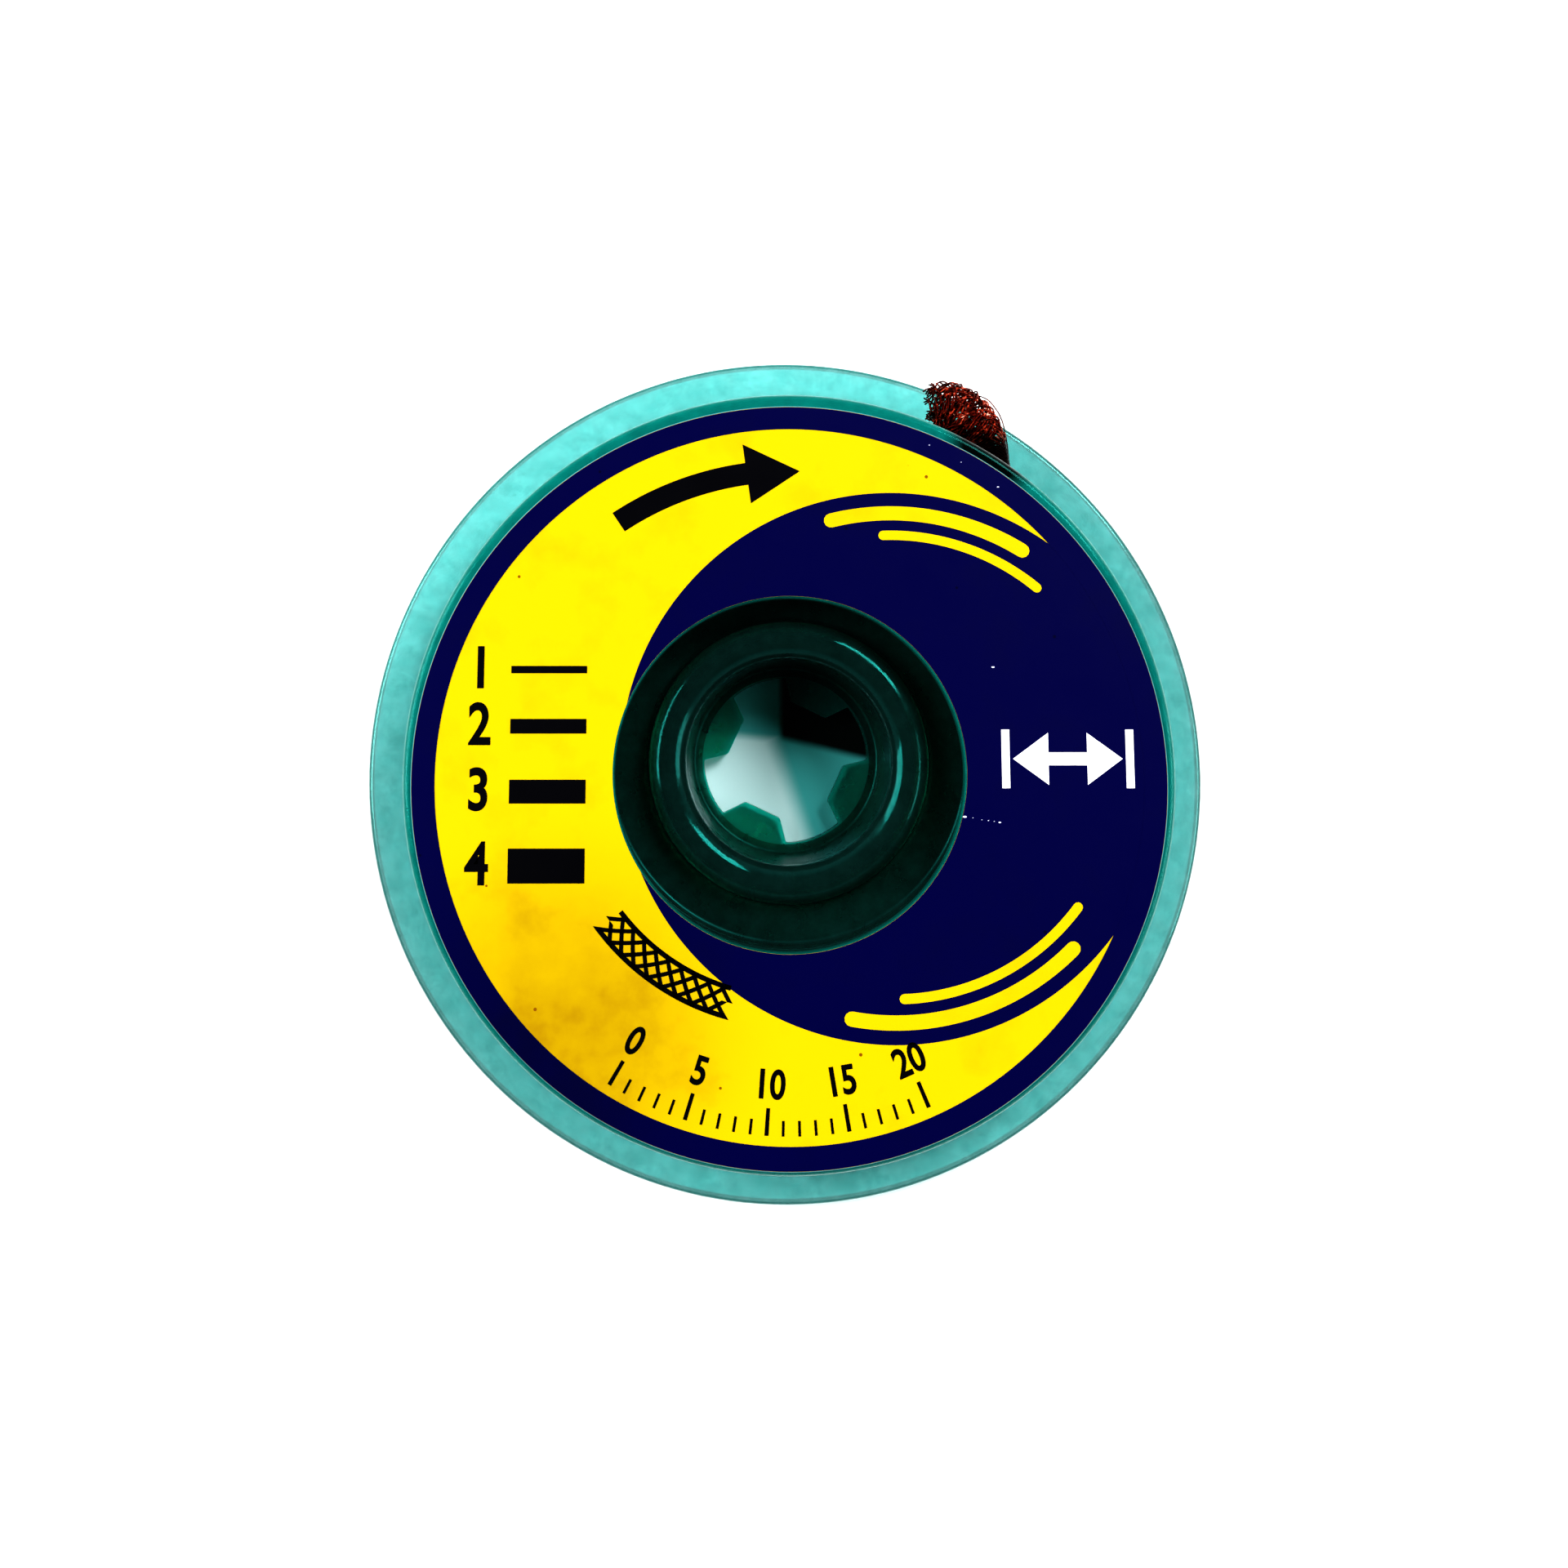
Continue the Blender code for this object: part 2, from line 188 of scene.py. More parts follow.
tree.links.new(top, surface.inputs["Base Color"])
surface.inputs["Roughness"].default_value = 0.9
surface.inputs["Specular IOR Level"].default_value = 0.1
table_mesh.materials.append(laminate)
table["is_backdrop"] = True

# Back plate of the case: a flanged disc with the reel's bearing hole, moulded in clear teal styrene.
# A low ring on it centres the cup, which is pressed on and glued. Its rim has a painted shade, a dark line.
STEPS = 192
FLANGE_RADIUS = 28
FLANGE_THICKNESS = 1.4
BEARING_RADIUS = 9.0
RING_RADIUS = 24.05
RING_WALL = 1.2
RING_TAPER = 0.1
RING_TOP = 2.7


def rounded(corners, steps=4):
    """Closed outline from corners of (x, y, radius), each corner turned into an arc."""
    points = []
    for index, (x, y, radius) in enumerate(corners):
        corner = Vector((x, y))
        before = (Vector(corners[index - 1][:2]) - corner).normalized()
        after = (Vector(corners[(index + 1) % len(corners)][:2]) - corner).normalized()
        if radius == 0:
            points.append((x, y))
            continue
        half = before.angle(after) / 2
        middle = corner + (before + after).normalized() * radius / math.sin(half)
        start = corner + before * radius / math.tan(half) - middle
        end = corner + after * radius / math.tan(half) - middle
        for step in range(steps + 1):
            way = start.lerp(end, step / steps).normalized() * radius
            points.append(tuple(middle + way))
    return points


def finish_mesh(name, work, material, sharp_angle=38):
    """Turns a bmesh in mm into an object in metres, with smooth faces between its sharp edges."""
    bmesh.ops.recalc_face_normals(work, faces=work.faces[:])
    bmesh.ops.scale(work, vec=(MM, MM, MM), verts=work.verts[:])
    mesh = bpy.data.meshes.new(name)
    work.to_mesh(mesh)
    work.free()
    mesh.shade_smooth()
    mesh.set_sharp_from_angle(angle=math.radians(sharp_angle))
    mesh.materials.append(material)
    obj = bpy.data.objects.new(name, mesh)
    bpy.context.scene.collection.objects.link(obj)
    return obj


def turned(outline):
    """Solid of revolution, in mm, from a closed outline of (radius, height)."""
    work = bmesh.new()
    rows = []
    for step in range(STEPS):
        angle = math.tau * step / STEPS
        rows.append([work.verts.new((r * math.cos(angle), r * math.sin(angle), z)) for r, z in outline])
    for row, following in zip(rows, rows[1:] + rows[:1]):
        for index in range(len(outline)):
            after = (index + 1) % len(outline)
            work.faces.new((row[index], following[index], following[after], row[after]))
    return work


NOWHERE = -1
EVERYWHERE = 1000
SCRATCHES_PER_MM = 2
GRAINS_PER_MM = 0.9
PATCHES_PER_MM = 1
DUST_PER_MM = 0.7
DUST_RADIUS = 0.1
RIM_PAINTED_SHADE = "#1E5852"


def moulded_styrene(
    name,
    depth_tint,
    density,
    skin,
    soil,
    lamp_tint,
    haze,
    shine="#7CE6DC",
    rim_radius=EVERYWHERE,
    foot=(NOWHERE, "#000000", EVERYWHERE),
    matt_height=NOWHERE,
):
    """Clear tinted styrene: glossy, finely scratched, and darker the more plastic the eye looks through.

    Skin and soil are its clean and its greasy colour, shine that of its reflections, haze its milky share.
    Past the rim radius it is painted darker, a painted shade for the plastic's own depth that a rounded edge
    shows.
    Below the foot's height and within its radius of the hub it has the foot's colour: painted shade on the
    cup's wall, painted light on the reel's petals.
    Below the matt height it is duller.
    """
    material = bpy.data.materials.new(name)
    material.use_nodes = True
    tree = material.node_tree
    tree.nodes.clear()
    place = add(tree, "ShaderNodeTexCoord").outputs["Object"]
    # Scratches 0.1 mm apart on a real case, drawn 0.5 mm apart so that they show, and all one way.
    across = add(tree, "ShaderNodeMapping", {"Vector": place, "Rotation": (0, 0, 0.7), "Scale": (1, 0.06, 1)})
    fine = {"Vector": across.outputs[0], "Scale": SCRATCHES_PER_MM / MM, "Detail": 2}
    scratch = add(tree, "ShaderNodeTexNoise", fine)
    grain = add(tree, "ShaderNodeTexNoise", {"Vector": place, "Scale": GRAINS_PER_MM / MM, "Detail": 3})
    # Greasy patches a millimetre across, and specks of dust 0.2 mm across.
    patch = add(
        tree,
        "ShaderNodeTexNoise",
        {"Vector": place, "Scale": PATCHES_PER_MM / MM, "Detail": 7, "Roughness": 0.8},
    )
    grease = {0: grain.outputs[0], 1: 0.45, 2: patch.outputs[0]}
    wear = add(tree, "ShaderNodeMath", grease, operation="MULTIPLY_ADD")
    soiled = add(tree, "ShaderNodeValToRGB", {0: wear.outputs[0]})
    ramp_stops(soiled, [(0.56, soil), (0.88, skin)])
    dust = add(tree, "ShaderNodeTexVoronoi", {"Vector": place, "Scale": DUST_PER_MM / MM})
    in_speck = {0: dust.outputs["Distance"], 1: DUST_RADIUS * DUST_PER_MM}
    speck = add(tree, "ShaderNodeMath", in_speck, operation="LESS_THAN")
    dusty = add(
        tree,
        "ShaderNodeMix",
        {"Factor": speck.outputs[0], "A": soiled.outputs[0], "B": colour(soil)},
        data_type="RGBA",
    )
    height = add(tree, "ShaderNodeSeparateXYZ", {0: place}).outputs["Z"]
    flat_place = add(tree, "ShaderNodeVectorMath", {0: place, 1: (1, 1, 0)}, operation="MULTIPLY").outputs[0]
    # Painted light and shade: the foot's colour is painted over the plastic low down near the hub.
    foot_height, painted_foot_tint, foot_radius = foot
    low = add(tree, "ShaderNodeMath", {0: height, 1: foot_height * MM}, operation="LESS_THAN")
    hub_place = {0: flat_place, 1: (0, REEL_Y * MM, 0)}
    from_hub = add(tree, "ShaderNodeVectorMath", hub_place, operation="DISTANCE")
    within = {0: from_hub.outputs["Value"], 1: foot_radius * MM}
    near = add(tree, "ShaderNodeMath", within, operation="LESS_THAN")
    on_painted_foot = add(tree, "ShaderNodeMath", {0: low.outputs[0], 1: near.outputs[0]}, operation="MULTIPLY")
    with_painted_foot = add(
        tree,
        "ShaderNodeMix",
        {"Factor": on_painted_foot.outputs[0], "A": dusty.outputs["Result"], "B": colour(painted_foot_tint)},
        data_type="RGBA",
    )
    # Painted shade: past the rim radius the colour turns dark teal.
    reach_out = add(tree, "ShaderNodeVectorMath", {0: flat_place}, operation="LENGTH").outputs["Value"]
    rim_start = rim_radius * MM
    rim = add(
        tree,
        "ShaderNodeMapRange",
        {"Value": reach_out, "From Min": rim_start, "From Max": rim_start + 0.1 * MM, "To Max": 0.9},
    )
    body = add(
        tree,
        "ShaderNodeMix",
        {"Factor": rim.outputs[0], "A": with_painted_foot.outputs["Result"], "B": colour(RIM_PAINTED_SHADE)},
        data_type="RGBA",
    )
    marks = add(tree, "ShaderNodeMath", {0: scratch.outputs[0], 1: grain.outputs[0]}, operation="ADD")
    bump = add(tree, "ShaderNodeBump", {"Height": marks.outputs[0], "Strength": 0.05, "Distance": 0.04 * MM})
    polish = add(
        tree,
        "ShaderNodeMapRange",
        {"Value": grain.outputs[0], "From Min": 0.35, "From Max": 0.7, "To Min": 0.06, "To Max": 0.2},
    )
    matt = add(tree, "ShaderNodeMath", {0: height, 1: matt_height * MM}, operation="LESS_THAN")
    duller = {0: matt.outputs[0], 1: 0.2, 2: polish.outputs[0]}
    rough = add(tree, "ShaderNodeMath", duller, operation="MULTIPLY_ADD")
    gloss = add(
        tree,
        "ShaderNodeBsdfPrincipled",
        {
            "Base Color": body.outputs["Result"],
            "Roughness": rough.outputs[0],
            "IOR": 1.5,
            "Transmission Weight": 1 - haze,
            "Specular Tint": colour(shine),
            "Normal": bump.outputs[0],
        },
    )
    # Lamps shine through by a straight path, so the table under the plastic is lit.
    lamp_ray = add(tree, "ShaderNodeLightPath").outputs["Is Shadow Ray"]
    passed = add(tree, "ShaderNodeBsdfTransparent", {"Color": colour(lamp_tint)})
    shell = add(tree, "ShaderNodeMixShader", {0: lamp_ray, 1: gloss.outputs[0], 2: passed.outputs[0]})
    filling = add(tree, "ShaderNodeVolumeAbsorption", {"Color": colour(depth_tint), "Density": density})
    add(tree, "ShaderNodeOutputMaterial", {"Surface": shell.outputs[0], "Volume": filling.outputs[0]})
    return material


case_styrene = moulded_styrene(
    "moulded_teal_styrene",
    depth_tint="#78E8E8",
    density=700,
    skin="#ABDDDB",
    soil="#8EC4C0",
    lamp_tint="#CFE8E7",
    haze=0.3,
    # Painted shade on the flange's rounded edge, from this radius out.
    rim_radius=27.72,
)
plate = turned(
    rounded(
        [
            (BEARING_RADIUS, 0, 0.12),
            (FLANGE_RADIUS, 0, 0.3),
            (FLANGE_RADIUS, FLANGE_THICKNESS, 0.35),
            (RING_RADIUS, FLANGE_THICKNESS, 0),
            (RING_RADIUS - RING_TAPER, RING_TOP, 0.15),
            (RING_RADIUS - RING_WALL + RING_TAPER, RING_TOP, 0.15),
            (RING_RADIUS - RING_WALL, FLANGE_THICKNESS, 0.2),
            (BEARING_RADIUS, FLANGE_THICKNESS, 0.15),
        ]
    )
)
back_plate = finish_mesh("back_plate", plate, case_styrene)
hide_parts("case_back")
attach(back_plate, "case")

# Cup of the case: a face with a round hole and a wall that flares towards the plate, in the same styrene with
# a painted shade.
# One notch in the wall, moulded open at the rim, lets the braid out.
CUP_BASE_Z = 1.42
CUP_FACE_LOW = 7.8
CUP_FACE_Z = 9.18
CUP_TOP_RADIUS = 23.9
CUP_BASE_RADIUS = 25.65
CUP_WALL = 1.2
CUP_FLARE = 0.3
FACE_HOLE_RADIUS = 10.9
NOTCH_ANGLE = 57.5
NOTCH_WIDTH = 4.4
NOTCH_LOW = -3
NOTCH_TOP = 8.2
NOTCH_FILLET = 0.6
NOTCH_INNER = 21
NOTCH_OUTER = 28


def carve(obj, cutter):
    """Cuts one object's shape out of another and keeps the result as its mesh."""
    cut = obj.modifiers.new("cut", "BOOLEAN")
    cut.object = cutter
    cut.solver = "EXACT"
    shaped = bpy.data.meshes.new_from_object(obj.evaluated_get(bpy.context.evaluated_depsgraph_get()))
    obj.modifiers.clear()
    obj.data = shaped
    bpy.data.objects.remove(cutter)
    shaped.shade_smooth()
    shaped.set_sharp_from_angle(angle=math.radians(38))


def prism(outline, low, high, work=None):
    """Upright prism, in mm, on a flat outline of (x, y)."""
    work = work or bmesh.new()
    bottom = [work.verts.new((x, y, low)) for x, y in outline]
    top = [work.verts.new((x, y, high)) for x, y in outline]
    caps = [work.faces.new(bottom[::-1]), work.faces.new(top)]
    for cap in caps:
        cap.normal_update()
    for index in range(len(outline)):
        after = (index + 1) % len(outline)
        work.faces.new((bottom[index], bottom[after], top[after], top[index]))
    bmesh.ops.triangulate(work, faces=caps)
    return work


cup_mesh = turned(
    rounded(
        [
            (FACE_HOLE_RADIUS, CUP_FACE_Z, 0.3),
            (FACE_HOLE_RADIUS, CUP_FACE_LOW, 0.15),
            (CUP_TOP_RADIUS - CUP_WALL + CUP_FLARE, CUP_FACE_LOW, 0.3),
            (CUP_BASE_RADIUS - CUP_WALL, CUP_BASE_Z, 0.1),
            (CUP_BASE_RADIUS, CUP_BASE_Z, 0.1),
            (CUP_TOP_RADIUS, CUP_FACE_Z, 0.5),
        ]
    )
)
# The same styrene, painted darker as a painted shade for a wall that the eye looks along.
shaded_cup_styrene = moulded_styrene(
    "moulded_teal_styrene_shaded_wall",
    depth_tint="#30E4E0",
    density=1500,
    skin="#14B4A8",
    soil="#10A096",
    lamp_tint="#7CC8C2",
    haze=0.32,
    shine="#1F8078",
    # Painted shade: below 8.7 mm the wall is painted a darker teal.
    foot=(8.7, "#0E988C", EVERYWHERE),
)
# The braid really lies behind the wall at the notch; its darkness seen through the plastic is painted on the
# wall as a painted shade.
BRAID_BEHIND = (13.2, 20.6, 8.5)
BRAID_SEEN = 2.2
BRAID_GONE = 3.6
tree = shaded_cup_styrene.node_tree
gloss = tree.nodes["Principled BSDF"]
skin = gloss.inputs["Base Color"].links[0].from_socket
place = add(tree, "ShaderNodeTexCoord").outputs["Object"]
from_braid = add(tree, "ShaderNodeVectorMath", {0: place, 1: Vector(BRAID_BEHIND) * MM}, operation="DISTANCE")
painted_braid_shade = add(
    tree,
    "ShaderNodeMapRange",
    {
        "Value": from_braid.outputs["Value"],
        "From Min": BRAID_SEEN * MM,
        "From Max": BRAID_GONE * MM,
        "To Min": 1,
        "To Max": 0,
    },
)
shown = add(
    tree,
    "ShaderNodeMix",
    {"Factor": painted_braid_shade.outputs[0], "A": skin, "B": colour("#021A17")},
    data_type="RGBA",
)
tree.links.new(shown.outputs["Result"], gloss.inputs["Base Color"])
cup = finish_mesh("cup", cup_mesh, shaded_cup_styrene)
half_width = NOTCH_WIDTH / 2
gate = rounded(
    [
        (-half_width, NOTCH_LOW, 0),
        (half_width, NOTCH_LOW, 0),
        (half_width, NOTCH_TOP, NOTCH_FILLET),
        (-half_width, NOTCH_TOP, NOTCH_FILLET),
    ]
)
notch = finish_mesh("notch", prism(gate, NOTCH_INNER, NOTCH_OUTER), case_styrene)
# The prism is laid over, so that it points out through the wall.
turn = math.radians(NOTCH_ANGLE)
for vertex in notch.data.vertices:
    side, up, out = vertex.co
    x = out * math.cos(turn) - side * math.sin(turn)
    y = out * math.sin(turn) + side * math.cos(turn)
    vertex.co = (x, y, up)
carve(cup, notch)
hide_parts("case_front")
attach(cup, "case")

# Label: a round of polyester film with a hole, printed yellow and stuck on the cup's face a little low.
# The navy border and field, the gauge, the ruler and the arrows are screen inks on it, all satin.
LABEL_RADIUS = 23.4
LABEL_HOLE_RADIUS = 10.95
LABEL_Y = -0.25
HOLE_Y = 0.05
FILM_LOW = 9.2
FILM_TOP = 9.32
FILM_CHAMFER = 0.06
INK = 0.014
YELLOW_RADIUS = 21.9
BORDER_RADIUS = LABEL_RADIUS - 0.08
SHADE_PLACE = (-13.5, -15.0, 9.3)
CLOUDS_PER_MM = 0.26
SPECKS_PER_MM = 0.42
SPECK_RADIUS = 0.107
RIPPLES_PER_MM = 0.15


def printed_film(name, ink, shade, shade_share, roughness):
    """Printed polyester: strong ink, a little cloudy, a painted brown shade low on the left, and a satin
    face.
    """
    material = bpy.data.materials.new(name)
    material.use_nodes = True
    tree = material.node_tree
    tree.nodes.clear()
    place = add(tree, "ShaderNodeTexCoord").outputs["Object"]
    # The painted shade is 28 mm across, strongest in its middle, and lies over the lower left of the print.
    away = add(tree, "ShaderNodeVectorMath", {0: place, 1: Vector(SHADE_PLACE) * MM}, operation="DISTANCE")
    painted_shade_pool = add(
        tree,
        "ShaderNodeMapRange",
        {"Value": away.outputs["Value"], "From Min": 1 * MM, "From Max": 14 * MM, "To Min": 1, "To Max": 0},
        interpolation_type="SMOOTHSTEP",
    )
    cloud = add(
        tree,
        "ShaderNodeTexNoise",
        {"Vector": place, "Scale": CLOUDS_PER_MM / MM, "Detail": 4, "Roughness": 0.6},
    )
    patch = add(
        tree,
        "ShaderNodeMapRange",
        {"Value": cloud.outputs[0], "From Min": 0.3, "From Max": 0.75, "To Min": 0.6, "To Max": 1},
    )
    patchy = add(tree, "ShaderNodeMath", {0: painted_shade_pool.outputs[0], 1: patch.outputs[0]}, operation="MULTIPLY")
    # Away from the shade a few faint clouds are left.
    faint = add(
        tree,
        "ShaderNodeMapRange",
        {"Value": cloud.outputs[0], "From Min": 0.52, "From Max": 0.75, "To Min": 0, "To Max": 0.14},
    )
    shaded = {0: patchy.outputs[0], 1: shade_share, 2: faint.outputs[0]}
    amount = add(tree, "ShaderNodeMath", shaded, operation="MULTIPLY_ADD")
    tone = add(
        tree,
        "ShaderNodeMix",
        {"Factor": amount.outputs[0], "A": colour(ink), "B": colour(shade)},
        data_type="RGBA",
    )
    # Specks of dirt about 0.2 mm across, far apart.
    spots = add(tree, "ShaderNodeTexVoronoi", {"Vector": place, "Scale": SPECKS_PER_MM / MM})
    in_speck = {0: spots.outputs["Distance"], 1: SPECK_RADIUS * SPECKS_PER_MM}
    speck = add(tree, "ShaderNodeMath", in_speck, operation="LESS_THAN")
    dirty = add(
        tree,
        "ShaderNodeMix",
        {"Factor": speck.outputs[0], "A": tone.outputs["Result"], "B": colour(shade)},
        data_type="RGBA",
    )
    ripple = add(tree, "ShaderNodeTexNoise", {"Vector": place, "Scale": RIPPLES_PER_MM / MM, "Detail": 2})
    bump = add(tree, "ShaderNodeBump", {"Height": ripple.outputs[0], "Strength": 0.1, "Distance": 0.03 * MM})
    satin = add(
        tree,
        "ShaderNodeMapRange",
        {"Value": cloud.outputs[0], "To Min": roughness - 0.08, "To Max": roughness + 0.08},
    )
    film = add(
        tree,
        "ShaderNodeBsdfPrincipled",
        {
            "Base Color": dirty.outputs["Result"],
            "Roughness": satin.outputs[0],
            "IOR": 1.18,
            "Normal": bump.outputs[0],
        },
    )
    add(tree, "ShaderNodeOutputMaterial", {"Surface": film.outputs[0]})
    return material


yellow_ink = printed_film("yellow_screen_ink", "#C8AE00", "#7E5000", 0.62, 0.45)
navy_ink = printed_film("navy_screen_ink", "#00003D", "#000026", 0.6, 0.4)
black_ink = printed_film("black_screen_ink", "#020207", "#000000", 0.5, 0.45)
white_ink = printed_film("white_screen_ink", "#FBFBFB", "#D8D8D8", 0.5, 0.5)
# The outer cut edge of the film is unprinted clear polyester, painted the teal of the plastic it shows and a
# little paler as a painted glint.
# Round the hole the film's cut edge has the navy ink.
cut_edge_with_glint = printed_film("clear_polyester_edge_with_glint", "#3F7F8C", "#2C6470", 0.5, 0.3)

film_mesh = turned(
    [
        (LABEL_HOLE_RADIUS, FILM_LOW),
        (LABEL_RADIUS, FILM_LOW),
        (LABEL_RADIUS, FILM_TOP - 0.05),
        (LABEL_RADIUS - FILM_CHAMFER, FILM_TOP),
        (LABEL_HOLE_RADIUS, FILM_TOP),
    ]
)
# The hole is cut a little above the label's centre.
for vertex in film_mesh.verts:
    at_hole = math.hypot(vertex.co.x, vertex.co.y) < LABEL_HOLE_RADIUS + 1
    vertex.co.y += HOLE_Y if at_hole else LABEL_Y
label_film = finish_mesh("label_film", film_mesh, yellow_ink)
label_film.data.materials.append(cut_edge_with_glint)
label_film.data.materials.append(navy_ink)
for face in label_film.data.polygons:
    if abs(face.normal.z) < 0.9:
        at_rim = face.center.xy.length > (LABEL_HOLE_RADIUS + 4) * MM
        face.material_index = 1 if at_rim else 2
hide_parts("label")
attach(label_film, "case")

border_top = FILM_TOP + 1.5 * INK
border_mesh = turned(
    [
        (YELLOW_RADIUS, FILM_TOP),
        (BORDER_RADIUS, FILM_TOP),
        (BORDER_RADIUS, border_top),
        (YELLOW_RADIUS, border_top),
    ]
)
bmesh.ops.translate(border_mesh, vec=(0, LABEL_Y, 0), verts=border_mesh.verts[:])
label_border = finish_mesh("label_border", border_mesh, navy_ink)
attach(label_border, "case")

# Navy field: one big round of ink, set to the right, that leaves the yellow as a plain crescent.
# It runs under the border and up to the hole. Four thin yellow arcs with round ends lie on it.
FIELD_CENTRE = (6.4, 0.65)
FIELD_RADIUS = 16.9
POINT_GAP = 0.4


def polar(radius, degrees, centre=(0, LABEL_Y)):
    """Flat point at a radius and an angle, about the label's own centre unless another is given."""
    angle = math.radians(degrees)
    return (centre[0] + radius * math.cos(angle), centre[1] + radius * math.sin(angle))


def arc_points(radius, start, end, centre=(0, LABEL_Y)):
    """Points along an arc, about 0.4 mm apart."""
    steps = max(2, round(abs(math.radians(end - start)) * radius / POINT_GAP))
    return [polar(radius, start + (end - start) * step / steps, centre) for step in range(steps + 1)]


def crossing(centre, radius, other_centre, other_radius):
    """Two angles, in degrees about a circle's own centre, at which another circle crosses it."""
    way = Vector(other_centre) - Vector(centre)
    half = math.acos((radius**2 + way.length_squared - other_radius**2) / (2 * radius * way.length))
    middle = math.atan2(way.y, way.x)
    return math.degrees(middle - half), math.degrees(middle + half)


def print_ink(name, outlines, material, layer):
    """One ink of the label, as thin closed slabs. Layer 1 lies on the film, layer 2 on layer 1."""
    work = bmesh.new()
    for outline in outlines:
        prism(outline, FILM_TOP + INK * (layer - 1), FILM_TOP + INK * layer, work)
    obj = finish_mesh(name, work, material)
    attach(obj, "case")


edge = ((0, LABEL_Y), YELLOW_RADIUS + 0.3)
hole = ((0, HOLE_Y), LABEL_HOLE_RADIUS + 0.01)
round_field = (FIELD_CENTRE, FIELD_RADIUS)
edge_start, edge_end = crossing(*edge, *round_field)
hole_start, hole_end = crossing(*hole, *round_field)
outer_low, outer_high = crossing(*round_field, *edge)
inner_low, inner_high = crossing(*round_field, *hole)
field = arc_points(edge[1], edge_start, edge_end, edge[0])
field += arc_points(FIELD_RADIUS, outer_low % 360, inner_low % 360, FIELD_CENTRE)[1:]
field += arc_points(hole[1], hole_end, hole_start, hole[0])[1:]
field += arc_points(FIELD_RADIUS, inner_high % 360, outer_high % 360, FIELD_CENTRE)[1:-1]
print_ink("label_field", [field], navy_ink, 1)

# Each arc's radius and width in mm, and its start and end in degrees, about the field's centre.
STRIPES = [(15.6, 0.9, 58, 104), (14.2, 0.6, 50, 92), (15.6, 0.9, -100, -46), (14.2, 0.6, -88, -38)]
# Turns in radians round an arc's rounded end.
END_TURNS = (0.5, 1.05, 1.57, 2.1, 2.64)
stripes = []
for radius, width, start, end in STRIPES:
    outline = []
    for side, begin, finish, facing in ((1, start, end, 0), (-1, end, start, 180)):
        outline += arc_points(radius + side * width / 2, begin, finish, FIELD_CENTRE)
        tip = polar(radius, finish, FIELD_CENTRE)
        outline += [polar(width / 2, finish + facing + math.degrees(swing), tip) for swing in END_TURNS]
    stripes.append(outline)
print_ink("label_stripes", stripes, yellow_ink, 2)

# Gauge at the left: four strokes from thin to thick, each with its plain number.
# Each stroke has its height on the label and its thickness in mm.
GAUGE = [(6.4, 0.45), (2.9, 0.9), (-1.1, 1.45), (-5.6, 2.1)]
STROKE_LEFT = -17.3
STROKE_RIGHT = -12.6
GAUGE_NUMBER_X = -19.2
GAUGE_NUMBER_SIZE = 3.6
FIGURE_SQUEEZE = 0.8
FIGURE_BOLDNESS = 0.022


def figures(text, size, place, turn=0.0):
    """Mesh, in mm, of plain bold figures, centred on a place and turned by an angle in degrees."""
    curve = bpy.data.curves.new("digits", "FONT")
    curve.body = text
    curve.align_x = "CENTER"
    curve.align_y = "CENTER"
    curve.size = size
    curve.extrude = INK / 2
    curve.offset = size * FIGURE_BOLDNESS
    curve.resolution_u = 6
    obj = bpy.data.objects.new("digits", curve)
    bpy.context.scene.collection.objects.link(obj)
    bpy.context.view_layer.update()
    mesh = bpy.data.meshes.new_from_object(obj.evaluated_get(bpy.context.evaluated_depsgraph_get()))
    bpy.data.objects.remove(obj)
    angle = math.radians(turn)
    for vertex in mesh.vertices:
        x, y, z = vertex.co
        x *= FIGURE_SQUEEZE
        vertex.co = (
            place[0] + x * math.cos(angle) - y * math.sin(angle),
            place[1] + x * math.sin(angle) + y * math.cos(angle),
            z,
        )
    return mesh


def print_figures(name, items):
    """One piece with all its black figures, printed on the film."""
    work = bmesh.new()
    for item in items:
        mesh = figures(*item)
        work.from_mesh(mesh)
        bpy.data.meshes.remove(mesh)
    bmesh.ops.translate(work, vec=(0, 0, FILM_TOP + INK / 2), verts=work.verts[:])
    obj = finish_mesh(name, work, black_ink)
    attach(obj, "case")


strokes = []
gauge_numbers = []
for rank, (y, thickness) in enumerate(GAUGE, 1):
    low = y - thickness / 2
    high = y + thickness / 2
    strokes.append([(STROKE_LEFT, low), (STROKE_RIGHT, low), (STROKE_RIGHT, high), (STROKE_LEFT, high)])
    gauge_numbers.append((str(rank), GAUGE_NUMBER_SIZE, (GAUGE_NUMBER_X, y)))
print_ink("label_gauge", strokes, black_ink, 1)
print_figures("label_gauge_numbers", gauge_numbers)

# Ruler along the lower border: a tick at each millimetre, a longer one at each fifth, and plain numbers.
RULER_RADIUS = 21.3
RULER_MIDDLE = -94
RULER_NUMBER_RADIUS = 18.4
RULER_NUMBER_SIZE = 2.4
degrees_per_mm = math.degrees(1 / RULER_RADIUS)
ticks = []
ruler_numbers = []
for count in range(21):
    at = RULER_MIDDLE + (count - 10) * degrees_per_mm
    long_tick = count % 5 == 0
    half_angle = degrees_per_mm * (0.12 if long_tick else 0.08)
    inner = RULER_RADIUS - (1.6 if long_tick else 0.9)
    corners = ((inner, -1), (RULER_RADIUS, -1), (RULER_RADIUS, 1), (inner, 1))
    ticks.append([polar(radius, at + side * half_angle) for radius, side in corners])
    if long_tick:
        ruler_numbers.append((str(count), RULER_NUMBER_SIZE, polar(RULER_NUMBER_RADIUS, at), at + 90))
print_ink("label_ruler", ticks, black_ink, 1)
print_figures("label_ruler_numbers", ruler_numbers)

